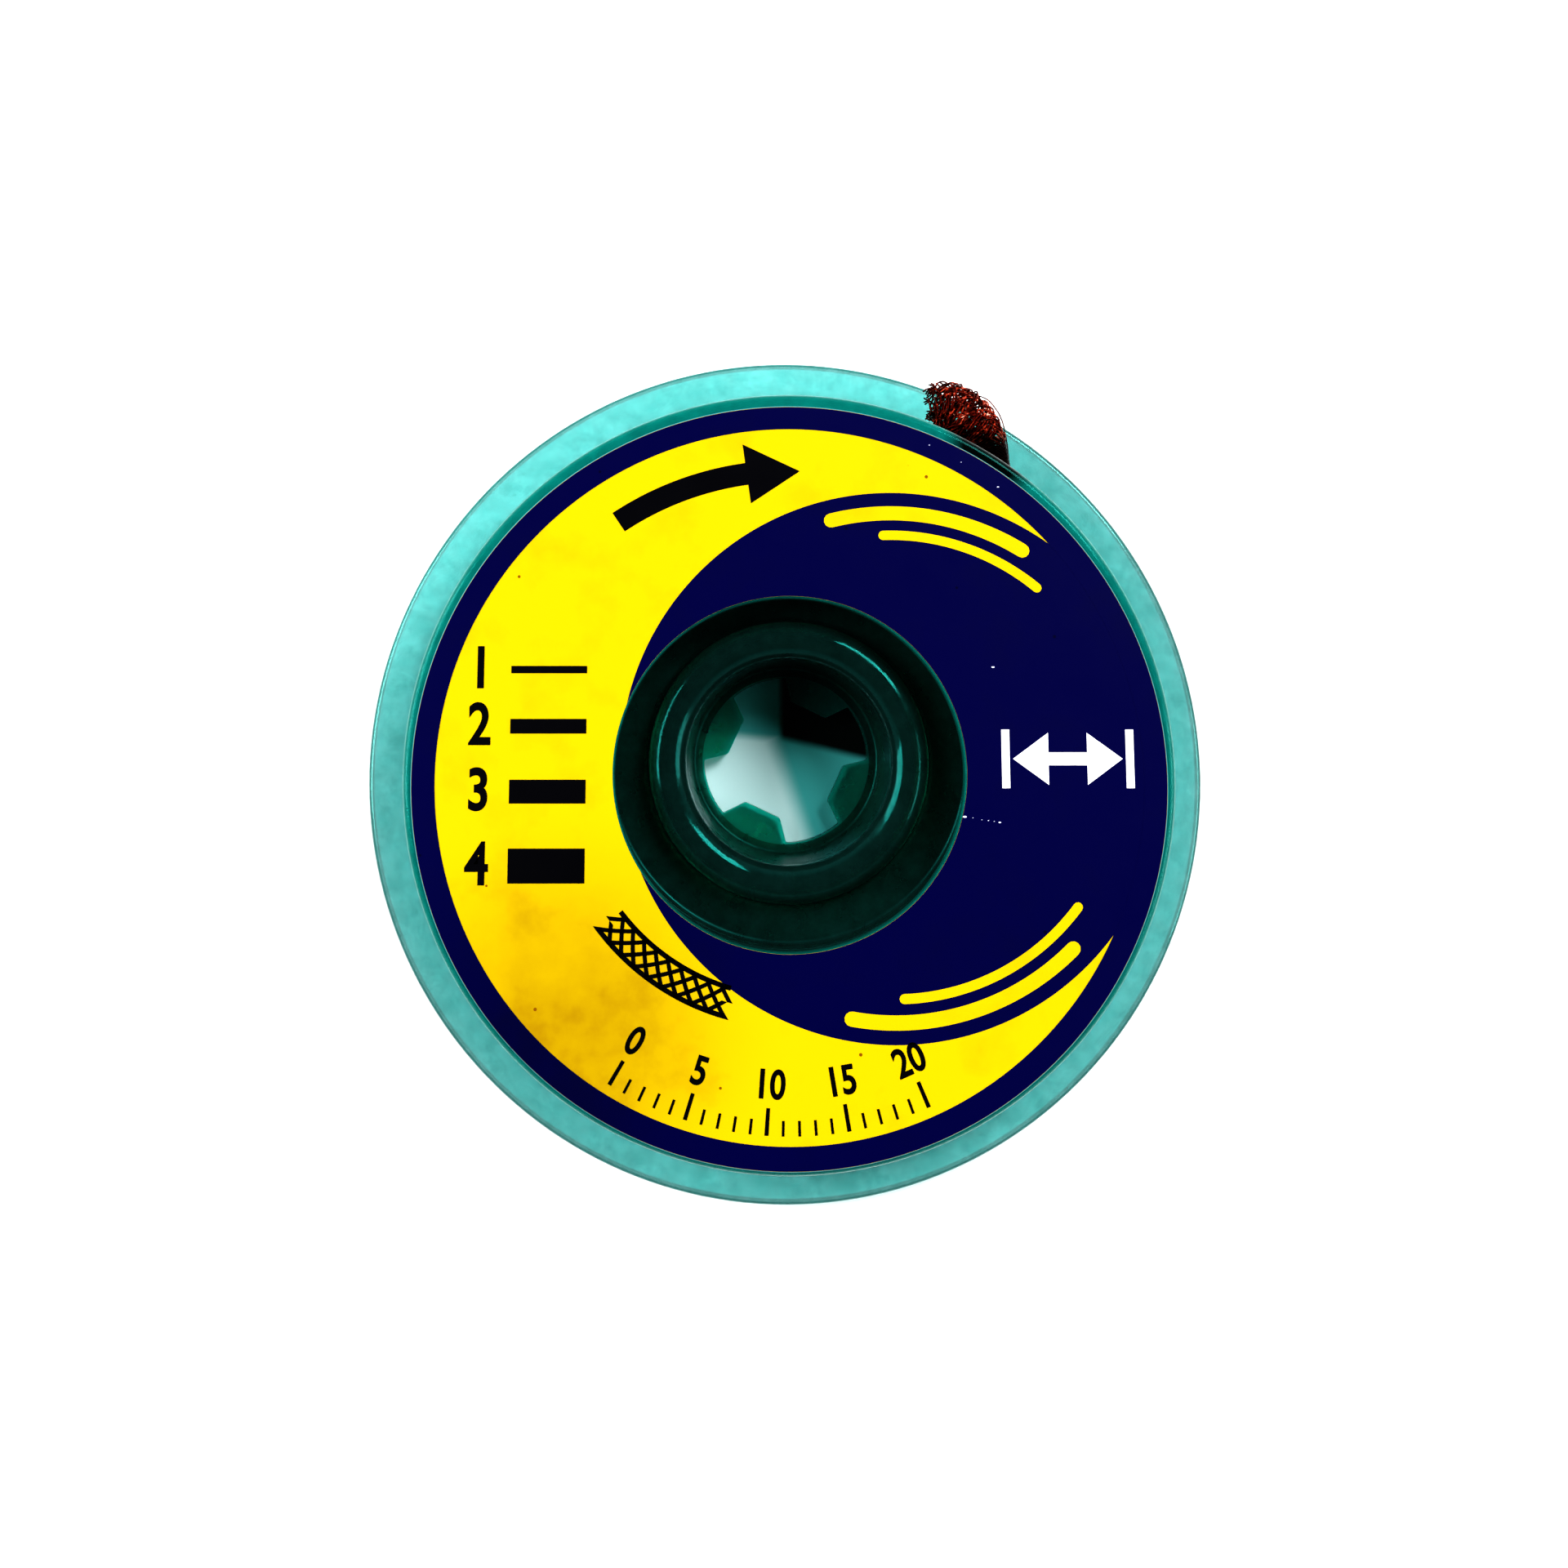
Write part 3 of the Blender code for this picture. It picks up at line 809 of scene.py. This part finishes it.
# Picture of the braid above the ruler: a band of crossing strips between two lines, as wide as the braid.
# Its ends and its strips are in degrees about the label's centre.
PICTURE_RADIUS = 13.0
PICTURE_WIDTH = 2.0
PICTURE_LINE = 0.3
PICTURE_START = -142
PICTURE_END = -106
STRIP_GAP = 4.0
STRIP_WIDTH = 1.4
STRIP_SWEEP = 8
STRIP_STEPS = 8
lattice = []
for inner in (PICTURE_RADIUS, PICTURE_RADIUS + PICTURE_WIDTH - PICTURE_LINE):
    near = arc_points(inner, PICTURE_START, PICTURE_END)
    far = arc_points(inner + PICTURE_LINE, PICTURE_END, PICTURE_START)
    lattice.append(near + far)
for lean in (1, -1):
    for count in range(-2, 10):
        foot = PICTURE_START + count * STRIP_GAP if lean == 1 else PICTURE_END - count * STRIP_GAP
        shares = []
        for step in range(STRIP_STEPS + 1):
            if PICTURE_START <= foot + lean * STRIP_SWEEP * step / STRIP_STEPS <= PICTURE_END:
                shares.append(step / STRIP_STEPS)
        if len(shares) > 1:
            strip = []
            for thickness, way in ((0, shares), (STRIP_WIDTH, shares[::-1])):
                for share in way:
                    at = foot + lean * (STRIP_SWEEP * share + thickness)
                    strip.append(polar(PICTURE_RADIUS + PICTURE_WIDTH * share, at))
            lattice.append(strip)
print_ink("label_braid_picture", lattice, black_ink, 1)

# Arrows: a curved black one at the top shows the pull, and a white one between bars at the right the width.
TURN_RADIUS = 19.2
TURN_START = 124
TURN_NECK = 98
TURN_TIP = 88
SHAFT_HALF = 0.7
HEAD_HALF = 1.9
turn_arrow = arc_points(TURN_RADIUS + SHAFT_HALF, TURN_START, TURN_NECK)
turn_arrow.append(polar(TURN_RADIUS + HEAD_HALF, TURN_NECK))
turn_arrow.append(polar(TURN_RADIUS, TURN_TIP))
turn_arrow.append(polar(TURN_RADIUS - HEAD_HALF, TURN_NECK))
turn_arrow += arc_points(TURN_RADIUS - SHAFT_HALF, TURN_NECK, TURN_START)
print_ink("label_turn_arrow", [turn_arrow], black_ink, 1)
lower_half = [(13.8, 0.9), (16.0, -0.7), (16.0, 0.5), (18.4, 0.5), (18.4, -0.7)]
upper_half = [(20.6, 0.9), (18.4, 2.5), (18.4, 1.3), (16.0, 1.3), (16.0, 2.5)]
left_bar = [(13.1, -0.9), (13.6, -0.9), (13.6, 2.7), (13.1, 2.7)]
right_bar = [(20.8, -0.9), (21.3, -0.9), (21.3, 2.7), (20.8, 2.7)]
print_ink("label_width_arrow", [left_bar, lower_half + upper_half, right_bar], white_ink, 2)

# Lint on the label: pale specks of fluff and a broken fibre, where the photograph shows them on the navy.
# Each speck has its x, its y and its half size in mm, and is longer than high.
LINT = [
    (12.67, 6.56, 0.08),
    (8.91, 20.63, 0.04),
    (10.91, 19.53, 0.03),
    (13.22, 17.94, 0.06),
    (10.75, -2.64, 0.1),
    (11.25, -2.7, 0.03),
    (11.8, -2.82, 0.03),
    (12.2, -2.87, 0.04),
    (12.55, -2.92, 0.03),
    (12.9, -2.98, 0.07),
]
LINT_STRETCH = (1.4, 0.7)
specks = []
for x, y, radius in LINT:
    speck = []
    for angle in range(0, 360, 60):
        dx, dy = polar(radius, angle, (0, 0))
        speck.append((x + LINT_STRETCH[0] * dx, y + LINT_STRETCH[1] * dy))
    specks.append(speck)
lint = printed_film("white_lint", "#C8CCE0", "#9AA0B8", 0.5, 0.5)
print_ink("label_lint", specks, lint, 2)

# Reel: hub with a rounded lip, a groove round it, a winding core and two thin flanges, one piece of styrene.
# It turns loosely in the plate's hole, a little off centre. Four petals in its floor grip a spindle.
LIP_RADIUS = 7.75
LIP_HALF_WIDTH = 1.25
LIP_Z = 6.5
LIP_RISE = 1.1
BORE_FOOT_RADIUS = 6.2
CENTRE_HOLE_RADIUS = 1.95
FLOOR_LOW = 0.3
FLOOR_TOP = 1.3
HUB_RADIUS = 8.0
WEB_LOW = 5.2
WEB_TOP = 6.0
CORE_INNER = 11.5
CORE_RADIUS = 12.7
REEL_FLANGE_RADIUS = 20.5
BACK_FLANGE_LOW = 1.7
BACK_FLANGE_TOP = 2.3
FRONT_FLANGE_LOW = 6.9
FRONT_FLANGE_TOP = 7.5
PETALS = 4
FIRST_PETAL = 65
PETAL_REACH = 3.9
PETAL_TIP_HALF = 19
PETAL_ROOT_HALF = 25
STAR_RADIUS = 5.5
STAR_STEPS = 8
STAR_LOW = -2
STAR_HIGH = 3
# Painted shade: the reel's styrene is a darker, denser copy that passes less lamp light, for the deep shade
# in the hub.
shaded_reel_styrene = moulded_styrene(
    "moulded_teal_styrene_shaded_hub",
    depth_tint="#08D4C8",
    density=1900,
    skin="#54B8AC",
    soil="#3E9C92",
    lamp_tint="#2F7F78",
    haze=0.04,
    shine="#2FBFB4",
    # Painted light: the petals in the floor are painted bright cyan, as if lit through from below.
    foot=(1.35, "#50FFF4", 5.6),
    matt_height=6.3,
)
reel_outline = []
for degrees in range(0, 181, 15):
    angle = math.radians(degrees)
    radius = LIP_RADIUS + LIP_HALF_WIDTH * math.cos(angle)
    reel_outline.append((radius, LIP_Z + LIP_RISE * math.sin(angle), 0))
reel_outline += [
    (BORE_FOOT_RADIUS, FLOOR_TOP, 0.2),
    (CENTRE_HOLE_RADIUS, FLOOR_TOP, 0),
    (CENTRE_HOLE_RADIUS, FLOOR_LOW, 0),
    (HUB_RADIUS, FLOOR_LOW, 0.2),
    (HUB_RADIUS, WEB_LOW, 0.2),
    (CORE_INNER, WEB_LOW, 0),
    (CORE_INNER, BACK_FLANGE_LOW, 0.1),
    (REEL_FLANGE_RADIUS, BACK_FLANGE_LOW, 0.15),
    (REEL_FLANGE_RADIUS, BACK_FLANGE_TOP, 0.15),
    (CORE_RADIUS, BACK_FLANGE_TOP, 0.1),
    (CORE_RADIUS, FRONT_FLANGE_LOW, 0.1),
    (REEL_FLANGE_RADIUS, FRONT_FLANGE_LOW, 0.15),
    (REEL_FLANGE_RADIUS, FRONT_FLANGE_TOP, 0.15),
    (CORE_INNER, FRONT_FLANGE_TOP, 0.2),
    (CORE_INNER, WEB_TOP, 0.3),
    (LIP_RADIUS + LIP_HALF_WIDTH, WEB_TOP, 0.3),
]
reel_mesh = turned(rounded(reel_outline))
bmesh.ops.translate(reel_mesh, vec=(0, REEL_Y, 0), verts=reel_mesh.verts[:])
reel = finish_mesh("reel_hub", reel_mesh, shaded_reel_styrene)
# The star opening between the petals, with its small corner fillets.
star = []
for petal in range(PETALS):
    middle = FIRST_PETAL + 360 / PETALS * petal
    for angle in (middle - PETAL_TIP_HALF, middle + PETAL_TIP_HALF):
        star.append((*polar(PETAL_REACH, angle, (0, REEL_Y)), 0.25))
    gap = 360 / PETALS - 2 * PETAL_ROOT_HALF
    for step in range(STAR_STEPS + 1):
        angle = middle + PETAL_ROOT_HALF + gap * step / STAR_STEPS
        fillet = 0.15 if step in (0, STAR_STEPS) else 0
        star.append((*polar(STAR_RADIUS, angle, (0, REEL_Y)), fillet))
star_cutter = finish_mesh("star", prism(rounded(star), STAR_LOW, STAR_HIGH), shaded_reel_styrene)
carve(reel, star_cutter)
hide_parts("reel")
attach(reel, "spool")

# Coil: 1.5 m of flat copper braid wound on the core in eight layers, in two files side by side.
# Each turn is a flat ribbon on edge, bright new copper under a brown film of rosin flux.
RIBBON_WIDTH = 1.9
RIBBON_THICKNESS = 0.6
RIBBON_ROUNDING = 0.22
RIBBON_GIRTH = 5.0
LAYERS = 8
LAYER_STEP = 0.62
FIRST_LAYER = 13.32
FILES = (3.6, 5.6)
TURN_STEPS = 72
STAINS_PER_MM = 0.7
FLECKS_PER_MM = 3.2
# Blender's wave repeats after tau / 20 / scale, so 0.3 draws its bundles 1 mm apart.
WEAVE_SCALE = 0.3
# Burnt flux and a painted shadow: a place on the loose end, the distance from it in mm within which it is
# dark and that past which it is clean, and a colour.
FLUX_BURNS_AND_SHADOW = [
    ((9.3, 24.3, 4.2), 0.6, 1.8, "#2A0C06"),
    # Painted shadow where the braid comes out of the case.
    ((13.4, 19.6, 4.8), 2.2, 3.6, "#0C0402"),
]


def copper_wire(name, bright, brown, woven):
    """Drawn copper under rosin flux: a metal, pink-orange where clean and dark red-brown where not."""
    material = bpy.data.materials.new(name)
    material.use_nodes = True
    tree = material.node_tree
    tree.nodes.clear()
    place = add(tree, "ShaderNodeTexCoord").outputs["Object"]
    stain = add(
        tree,
        "ShaderNodeTexNoise",
        {"Vector": place, "Scale": STAINS_PER_MM / MM, "Detail": 4, "Roughness": 0.65},
    )
    # Flecks of cleaner wire 0.3 mm across among the flux.
    fleck = add(tree, "ShaderNodeTexNoise", {"Vector": place, "Scale": FLECKS_PER_MM / MM, "Detail": 2})
    both = add(tree, "ShaderNodeMath", {0: stain.outputs[0], 1: fleck.outputs[0]}, operation="ADD")
    halved = add(tree, "ShaderNodeMath", {0: both.outputs[0], 1: 0.5}, operation="MULTIPLY")
    tone = add(tree, "ShaderNodeValToRGB", {0: halved.outputs[0]})
    ramp_stops(tone, [(0.42, brown), (0.52, "#5E150C"), (0.59, bright), (0.64, "#F4BCA8")])
    rough = add(
        tree,
        "ShaderNodeMapRange",
        {"Value": fleck.outputs[0], "From Min": 0.3, "From Max": 0.7, "To Min": 0.22, "To Max": 0.6},
    )
    metal = add(
        tree,
        "ShaderNodeBsdfPrincipled",
        {"Base Color": tone.outputs[0], "Metallic": 1, "Roughness": rough.outputs[0]},
    )
    if woven:
        # Wire bundles that cross at a right angle, 0.5 mm apart on the real braid and coarser here, to show.
        thread = add(tree, "ShaderNodeUVMap", uv_map="weave").outputs[0]
        bundles = []
        for lean in (0.785, -0.785):
            leaning = add(tree, "ShaderNodeMapping", {"Vector": thread, "Rotation": (0, 0, lean)})
            wave = {"Vector": leaning.outputs[0], "Scale": WEAVE_SCALE}
            bundles.append(add(tree, "ShaderNodeTexWave", wave).outputs["Color"])
        over = add(tree, "ShaderNodeMath", {0: bundles[0], 1: bundles[1]}, operation="MAXIMUM")
        raised = {"Height": over.outputs[0], "Strength": 0.9, "Distance": 0.1 * MM}
        weave = add(tree, "ShaderNodeBump", raised)
        tree.links.new(weave.outputs[0], metal.inputs["Normal"])
    else:
        # Burnt flux makes the frayed end dark; the near black where the braid comes out of the case is a
        # painted shadow.
        burnt_and_shaded_tone = tone.outputs[0]
        for spot, near, far, tint in FLUX_BURNS_AND_SHADOW:
            away = add(tree, "ShaderNodeVectorMath", {0: place, 1: Vector(spot) * MM}, operation="DISTANCE")
            darkening_share = add(
                tree,
                "ShaderNodeMapRange",
                {
                    "Value": away.outputs["Value"],
                    "From Min": near * MM,
                    "From Max": far * MM,
                    "To Min": 0.98,
                    "To Max": 0,
                },
                interpolation_type="SMOOTHSTEP",
            )
            mixed = add(
                tree,
                "ShaderNodeMix",
                {"Factor": darkening_share.outputs[0], "A": burnt_and_shaded_tone, "B": colour(tint)},
                data_type="RGBA",
            )
            burnt_and_shaded_tone = mixed.outputs["Result"]
        tree.links.new(burnt_and_shaded_tone, metal.inputs["Base Color"])
    add(tree, "ShaderNodeOutputMaterial", {"Surface": metal.outputs[0]})
    return material


wound_copper = copper_wire("wound_copper_braid", "#E08A62", "#3A1109", woven=True)
coil_mesh = bmesh.new()
weave_layer = coil_mesh.loops.layers.uv.new("weave")
half_thick = RIBBON_THICKNESS / 2
half_wide = RIBBON_WIDTH / 2
section = rounded(
    [
        (-half_thick, -half_wide, RIBBON_ROUNDING),
        (half_thick, -half_wide, RIBBON_ROUNDING),
        (half_thick, half_wide, RIBBON_ROUNDING),
        (-half_thick, half_wide, RIBBON_ROUNDING),
    ],
    2,
)
for file_z in FILES:
    rows = []
    length = 0.0
    lengths = []
    for step in range(LAYERS * TURN_STEPS + 1):
        turns = step / TURN_STEPS
        radius = FIRST_LAYER + LAYER_STEP * turns + 0.05 * noise.noise(Vector((turns * 3, file_z, 0)))
        height = file_z + 0.06 * noise.noise(Vector((turns * 2.3, 7, file_z)))
        angle = math.tau * turns
        row = []
        for out, up in section:
            x = (radius + out) * math.cos(angle)
            y = REEL_Y + (radius + out) * math.sin(angle)
            row.append(coil_mesh.verts.new((x, y, height + up)))
        rows.append(row)
        lengths.append(length)
        length += radius * math.tau / TURN_STEPS
    for step in range(len(rows) - 1):
        row = rows[step]
        following = rows[step + 1]
        for index in range(len(section)):
            after = (index + 1) % len(section)
            face = coil_mesh.faces.new((row[index], following[index], following[after], row[after]))
            near = index / len(section) * RIBBON_GIRTH
            far = (index + 1) / len(section) * RIBBON_GIRTH
            along = [lengths[step], lengths[step + 1], lengths[step + 1], lengths[step]]
            for loop, u, v in zip(face.loops, along, (near, near, far, far)):
                loop[weave_layer].uv = (u, v)
    coil_mesh.faces.new(rows[0][::-1])
    coil_mesh.faces.new(rows[-1])
coil = finish_mesh("coil", coil_mesh, wound_copper)
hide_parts("braid_coil")
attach(coil, "spool")

# Tail: the braid's loose end, a flattened tube of sixteen bundles of fine wire, eight each way round.
# It leaves the coil edge-on, turns flat in the notch, bunches up beside the wall and frays at its end.
# Each row is x, y and z in mm, the tube's half width and half thickness, the twist from edge-on in degrees.
TAIL = [
    (18.25, 6.15, 4.6, 0.98, 0.30, 0),
    (16.39, 11.57, 4.6, 0.98, 0.30, 8),
    (14.6, 16.4, 4.7, 1.15, 0.45, 30),
    (13.35, 19.3, 4.85, 1.6, 0.75, 56),
    (12.9, 20.8, 5.0, 1.75, 0.9, 68),
    (12.6, 21.95, 5.1, 1.75, 1.0, 74),
    (12.0, 23.05, 5.0, 1.75, 1.05, 77),
    (11.2, 23.95, 4.7, 1.6, 0.95, 78),
    (10.3, 24.45, 4.4, 1.2, 0.75, 78),
    (9.4, 24.5, 4.1, 0.8, 0.55, 78),
]
ROW_SAMPLES = 40
BUNDLES = 8
WIRES = 4
WIRE_RADIUS = 0.055
WIRE_SIDES = 5
TUBE_PITCH = 5.0
TUBE_SQUARENESS = 0.8
ROW_GAP = 0.12
LOOSE_LENGTH = 6.5
FILL_WIRES = 10
FILL_RADIUS = 0.16
STRAY_RADIUS = 0.04
STRAY_SAMPLES = 8
STRAY = [
    (12.3, 25.0, 5.1),
    (13.35, 24.55, 5.3),
    (13.98, 23.8, 5.3),
    (14.25, 23.3, 5.25),
    (14.42, 22.8, 5.2),
    (14.62, 21.8, 5.1),
    (14.72, 20.9, 4.9),
    (14.5, 20.1, 4.7),
]


def between(rows, place):
    """Smooth value of each column at a place along the rows, by a Catmull-Rom curve."""
    index = min(int(place), len(rows) - 2)
    share = place - index
    four = [rows[max(0, min(len(rows) - 1, index + offset))] for offset in (-1, 0, 1, 2)]
    values = []
    for a, b, c, d in zip(*four):
        bend = 2 * a - 5 * b + 4 * c - d
        sweep = 3 * b - a - 3 * c + d
        values.append(0.5 * (2 * b + (c - a) * share + bend * share**2 + sweep * share**3))
    return values


samples = [between(TAIL, place / ROW_SAMPLES) for place in range((len(TAIL) - 1) * ROW_SAMPLES + 1)]
travelled = [0.0]
for before, after in zip(samples, samples[1:]):
    travelled.append(travelled[-1] + (Vector(after[:3]) - Vector(before[:3])).length)
tail_length = travelled[-1]


def tail_row(distance):
    """The tail's values at a distance along it."""
    for index in range(len(travelled) - 1):
        if travelled[index + 1] >= distance:
            share = (distance - travelled[index]) / (travelled[index + 1] - travelled[index])
            return [a + (b - a) * share for a, b in zip(samples[index], samples[index + 1])]
    return samples[-1]


def tail_frame(distance):
    """Centre, width way and thickness way of the tail at a distance along it, and its two half sizes."""
    row = tail_row(distance)
    ahead = Vector(tail_row(min(distance + 0.1, tail_length))[:3])
    behind = Vector(tail_row(max(distance - 0.1, 0))[:3])
    heading = (ahead - behind).normalized()
    level = heading.cross(Vector((0, 0, 1))).normalized()
    upright = level.cross(heading).normalized()
    twist = math.radians(row[5])
    width_way = upright * math.cos(twist) + level * math.sin(twist)
    thickness_way = level * math.cos(twist) - upright * math.sin(twist)
    return Vector(row[:3]), width_way, thickness_way, row[3], row[4]


def wire(work, path, radius):
    """Round wire along a path, closed at both ends."""
    rows = []
    for index, point in enumerate(path):
        heading = (path[min(index + 1, len(path) - 1)] - path[max(index - 1, 0)]).normalized()
        side = heading.cross(Vector((0.3, 0.2, 0.93))).normalized()
        up = heading.cross(side)
        rows.append([])
        for corner in range(WIRE_SIDES):
            angle = math.tau * corner / WIRE_SIDES
            rows[-1].append(work.verts.new(point + (side * math.cos(angle) + up * math.sin(angle)) * radius))
    for row, following in zip(rows, rows[1:]):
        for index in range(WIRE_SIDES):
            after = (index + 1) % WIRE_SIDES
            work.faces.new((row[index], row[after], following[after], following[index]))
    work.faces.new(rows[0][::-1])
    work.faces.new(rows[-1])


def squared(value):
    """A sine or cosine drawn out towards 1, which makes a circle's outline fuller at its corners."""
    return math.copysign(abs(value) ** TUBE_SQUARENESS, value)


random.seed(7)
noise.seed_set(7)
frames =[tail_frame(step * ROW_GAP) for step in range(int(tail_length / ROW_GAP) + 1)]
tail_mesh = bmesh.new()
for lean in (1, -1):
    for bundle in range(BUNDLES):
        for strand in range(WIRES):
            path = []
            wander = Vector((random.random(), random.random(), random.random())) * 50
            curl_start = random.random() * math.tau
            curl_pitch = random.uniform(0.8, 1.3)
            stop = len(frames) - random.choice((0, 2, 5, 9))
            for step in range(stop):
                distance = step * ROW_GAP
                centre, width_way, thickness_way, half_width, half_thickness = frames[step]
                # The wires lie together inside the case and come loose over the last stretch.
                loose = max(0, min(1, (distance - tail_length + LOOSE_LENGTH) / LOOSE_LENGTH))
                spread = (strand - 1.5) * (0.2 + 0.1 * loose)
                angle = math.tau * ((bundle + spread) / BUNDLES + lean * distance / TUBE_PITCH)
                # Each bundle goes over and under those that wind the other way.
                weave_turn = math.pi * bundle + lean * math.tau * 4 * distance / TUBE_PITCH - math.pi / 4
                lift = lean * math.cos(weave_turn) * (0.05 + 0.05 * loose)
                across = squared(math.cos(angle)) * (half_width + lift)
                through = squared(math.sin(angle)) * (half_thickness + lift)
                shake = noise.noise_vector(wander + Vector((distance * 2.2, 0, 0))) * (0.02 + 0.34 * loose)
                curl = curl_start + math.tau * distance / curl_pitch
                shake += (width_way * math.cos(curl) + thickness_way * math.sin(curl)) * 0.2 * loose
                path.append(centre + width_way * across + thickness_way * through + shake)
            wire(tail_mesh, path, WIRE_RADIUS)
# Wires pushed inside the tube fill it, so that no light shows through its thick part.
for core in range(FILL_WIRES):
    wander = Vector((random.random(), random.random(), random.random())) * 50
    path = []
    for step in range(70, len(frames) - 14, 2):
        centre, width_way, thickness_way, half_width, half_thickness = frames[step]
        around = math.tau * core / FILL_WIRES + step * 0.05
        across = width_way * math.cos(around) * half_width * 0.55
        through = thickness_way * math.sin(around) * half_thickness * 0.4
        sway = noise.noise_vector(wander + Vector((step * 0.2, 0, 0))) * 0.3
        path.append(centre + across + through + sway)
    wire(tail_mesh, path, FILL_RADIUS)
# One wire has slipped out of the weave and bows round the bunch.
bunch_faces = len(tail_mesh.faces)
stray_steps = (len(STRAY) - 1) * STRAY_SAMPLES
stray_path = [Vector(between(STRAY, place / STRAY_SAMPLES)) for place in range(stray_steps + 1)]
wire(tail_mesh, stray_path, STRAY_RADIUS)
tail_copper = copper_wire("frayed_copper_wire", "#C24C30", "#340804", woven=False)
tail = finish_mesh("tail", tail_mesh, tail_copper, 80)
# The slipped wire has kept all its flux, which makes it brown.
tail.data.materials.append(copper_wire("fluxed_copper_wire", "#6A2A1C", "#241008", woven=False))
for face in tail.data.polygons[bunch_faces:]:
    face.material_index = 1
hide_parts("braid_tail")
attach(tail, "case")

low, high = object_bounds()
